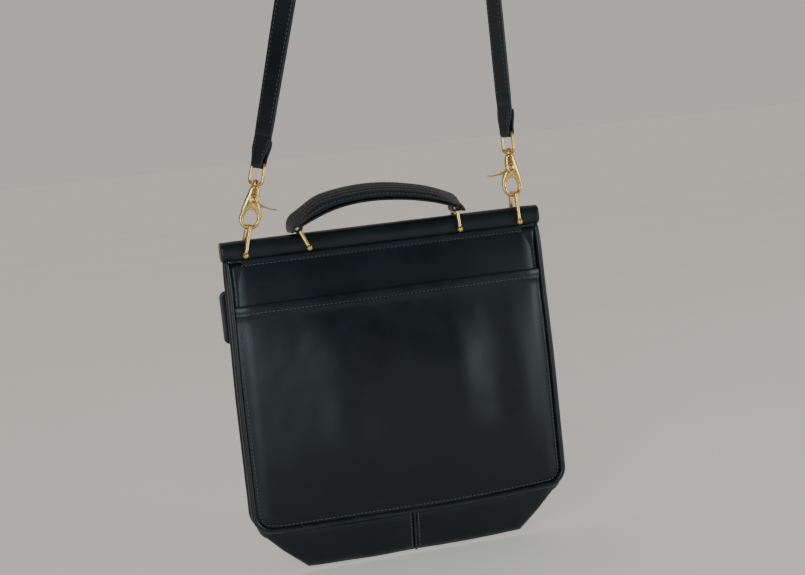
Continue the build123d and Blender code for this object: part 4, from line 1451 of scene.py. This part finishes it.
zipSize = {"start": -83.6, "pitch": 2.5, "count": 68, "reach": 0.8, "offset": 0.6}


def makeZipTeeth():
    _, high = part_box("zip_tape")
    middle = middleOf("zip_tape")
    front = (high[1] - barMiddle.y) / mm
    parts = []
    for k in range(zipSize["count"]):
        x = zipSize["start"] + zipSize["pitch"] * k
        for way in (-1, 1):
            centre = Vector((x + way * zipSize["offset"], front - 0.35, middle.z + way * zipSize["reach"]))
            parts.append(ball(centre, 1.0, (0.55, 0.5, 1.2), 4, 8))
    points, faces = merge(parts)
    slotAndReplace(meshPiece("zipTeeth", points, faces, brass, "bag"), "brass")


makeFlap()
makeTurnlock()
makeTag()
makeZipTeeth()
print("front made")

# finish of the CAD pieces that stay
kept = {"top_bar": barBoard, "inner_pocket": flesh, "zip_tape": zipCloth, "zip_slider": brass,
        "turnlock_base": brass, "turnlock_knob": brass, "flap_plate": brass, "tag_rivet": brass,
        "tag_lace": strapLeather, "flap_root": leather, "hang_tag": leather, "flap": leather,
        "handle_base": handleLeather, "handle_pad": handleLeather, "handle_cover": handleLeather,
        "shoulder_strap": strapLeather}
for name in sides:
    for node in ("strap_dee_pin", "handle_dee_pin", "snap", "trigger", "trigger_pin", "eye"):
        kept[f"{name}_{node}"] = brass
    kept[f"{name}_strap_end"] = strapLeather
for node, finish in kept.items():
    for slotEntry in bpy.data.objects[node].material_slots:
        slotEntry.material = finish

# the sewn rows
for body, rows in threadRows.items():
    if rows:
        points, faces = merge(rows)
        slotAndReplace(meshPiece(f"{body}Stitches", points, faces, thread, body), "strap_leather")
print("stitches sewn")


# studio
roomLight = {"wall": 0.48, "ceiling": 0.2, "left": 0.12, "right": 0.3, "under": 0.1, "base": 0.022}


def makeStudio():
    world = bpy.data.worlds.new("paleRoom")
    bpy.context.scene.world = world
    room = Finish("paleRoom", world)
    direction = room.node("ShaderNodeTexCoord", output="Generated")

    def lit(towards, dim, bright):
        # a soft patch of light: none below one cosine of the angle, full above the other
        cosine = room.node("ShaderNodeVectorMath", {"operation": "DOT_PRODUCT"},
                           (direction, tuple(Vector(towards).normalized())), "Value")
        return room.node("ShaderNodeMapRange", {"interpolation_type": "SMOOTHSTEP"},
                         {"Value": cosine, "From Min": dim, "From Max": bright})

    glow = lit((0, 1, 0.1), -0.25, 0.5) * roomLight["wall"]
    glow = glow + lit((0, 0, 1), 0.45, 0.95) * roomLight["ceiling"]
    glow = glow + lit((-0.55, -0.82, 0.18), 0.8, 0.985) * roomLight["left"]
    glow = glow + lit((0.93, -0.35, 0.1), 0.8, 0.98) * roomLight["right"]
    glow = glow + lit((0, 0, -1), 0.0, 0.3) * roomLight["under"] + roomLight["base"]
    backdrop = room.nodes["Background"]
    backdrop.inputs["Color"].default_value = (1.0, 0.95, 0.88, 1)
    room.feed(backdrop.inputs["Strength"], glow)
    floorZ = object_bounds()[0][2] - 0.002
    mesh = bpy.data.meshes.new("floor")
    size = 30.0
    corners = [(-1, -1), (1, -1), (1, 1), (-1, 1)]
    mesh.from_pydata([(x * size, y * size, floorZ) for x, y in corners], [], [(0, 1, 2, 3)])
    floor = bpy.data.objects.new("floor", mesh)
    bpy.context.collection.objects.link(floor)
    paint = Finish("paleFloor")
    cloud = paint.noise(0.004, 3.0)
    paint.set(Base_Color=paint.mix(cloud, (0.58, 0.55, 0.51), (0.66, 0.63, 0.59)))
    paint.set(Roughness=0.75 + cloud * 0.1)
    paint.set(Emission_Color=(1.0, 0.955, 0.89), Emission_Strength=0.285)
    mesh.materials.append(paint.material)

    def softLight(name, where, aim, size, power, colour):
        data = bpy.data.lights.new(name, "AREA")
        data.shape = "RECTANGLE"
        data.size, data.size_y = size
        data.energy = power
        data.color = colour
        lamp = bpy.data.objects.new(name, data)
        bpy.context.collection.objects.link(lamp)
        lamp.location = place(where)
        lamp.rotation_euler = (place(aim) - place(where)).to_track_quat("-Z", "Y").to_euler()

    softLight("leftWindow", (-850, -1700, 260), (-20, 0, -120), (0.4, 1.5), 19, (0.74, 0.97, 1.0))
    softLight("rightWindow", (1500, -1150, 100), (60, 0, -120), (0.5, 1.4), 18, (0.8, 0.98, 1.0))


makeStudio()
print("studio made")
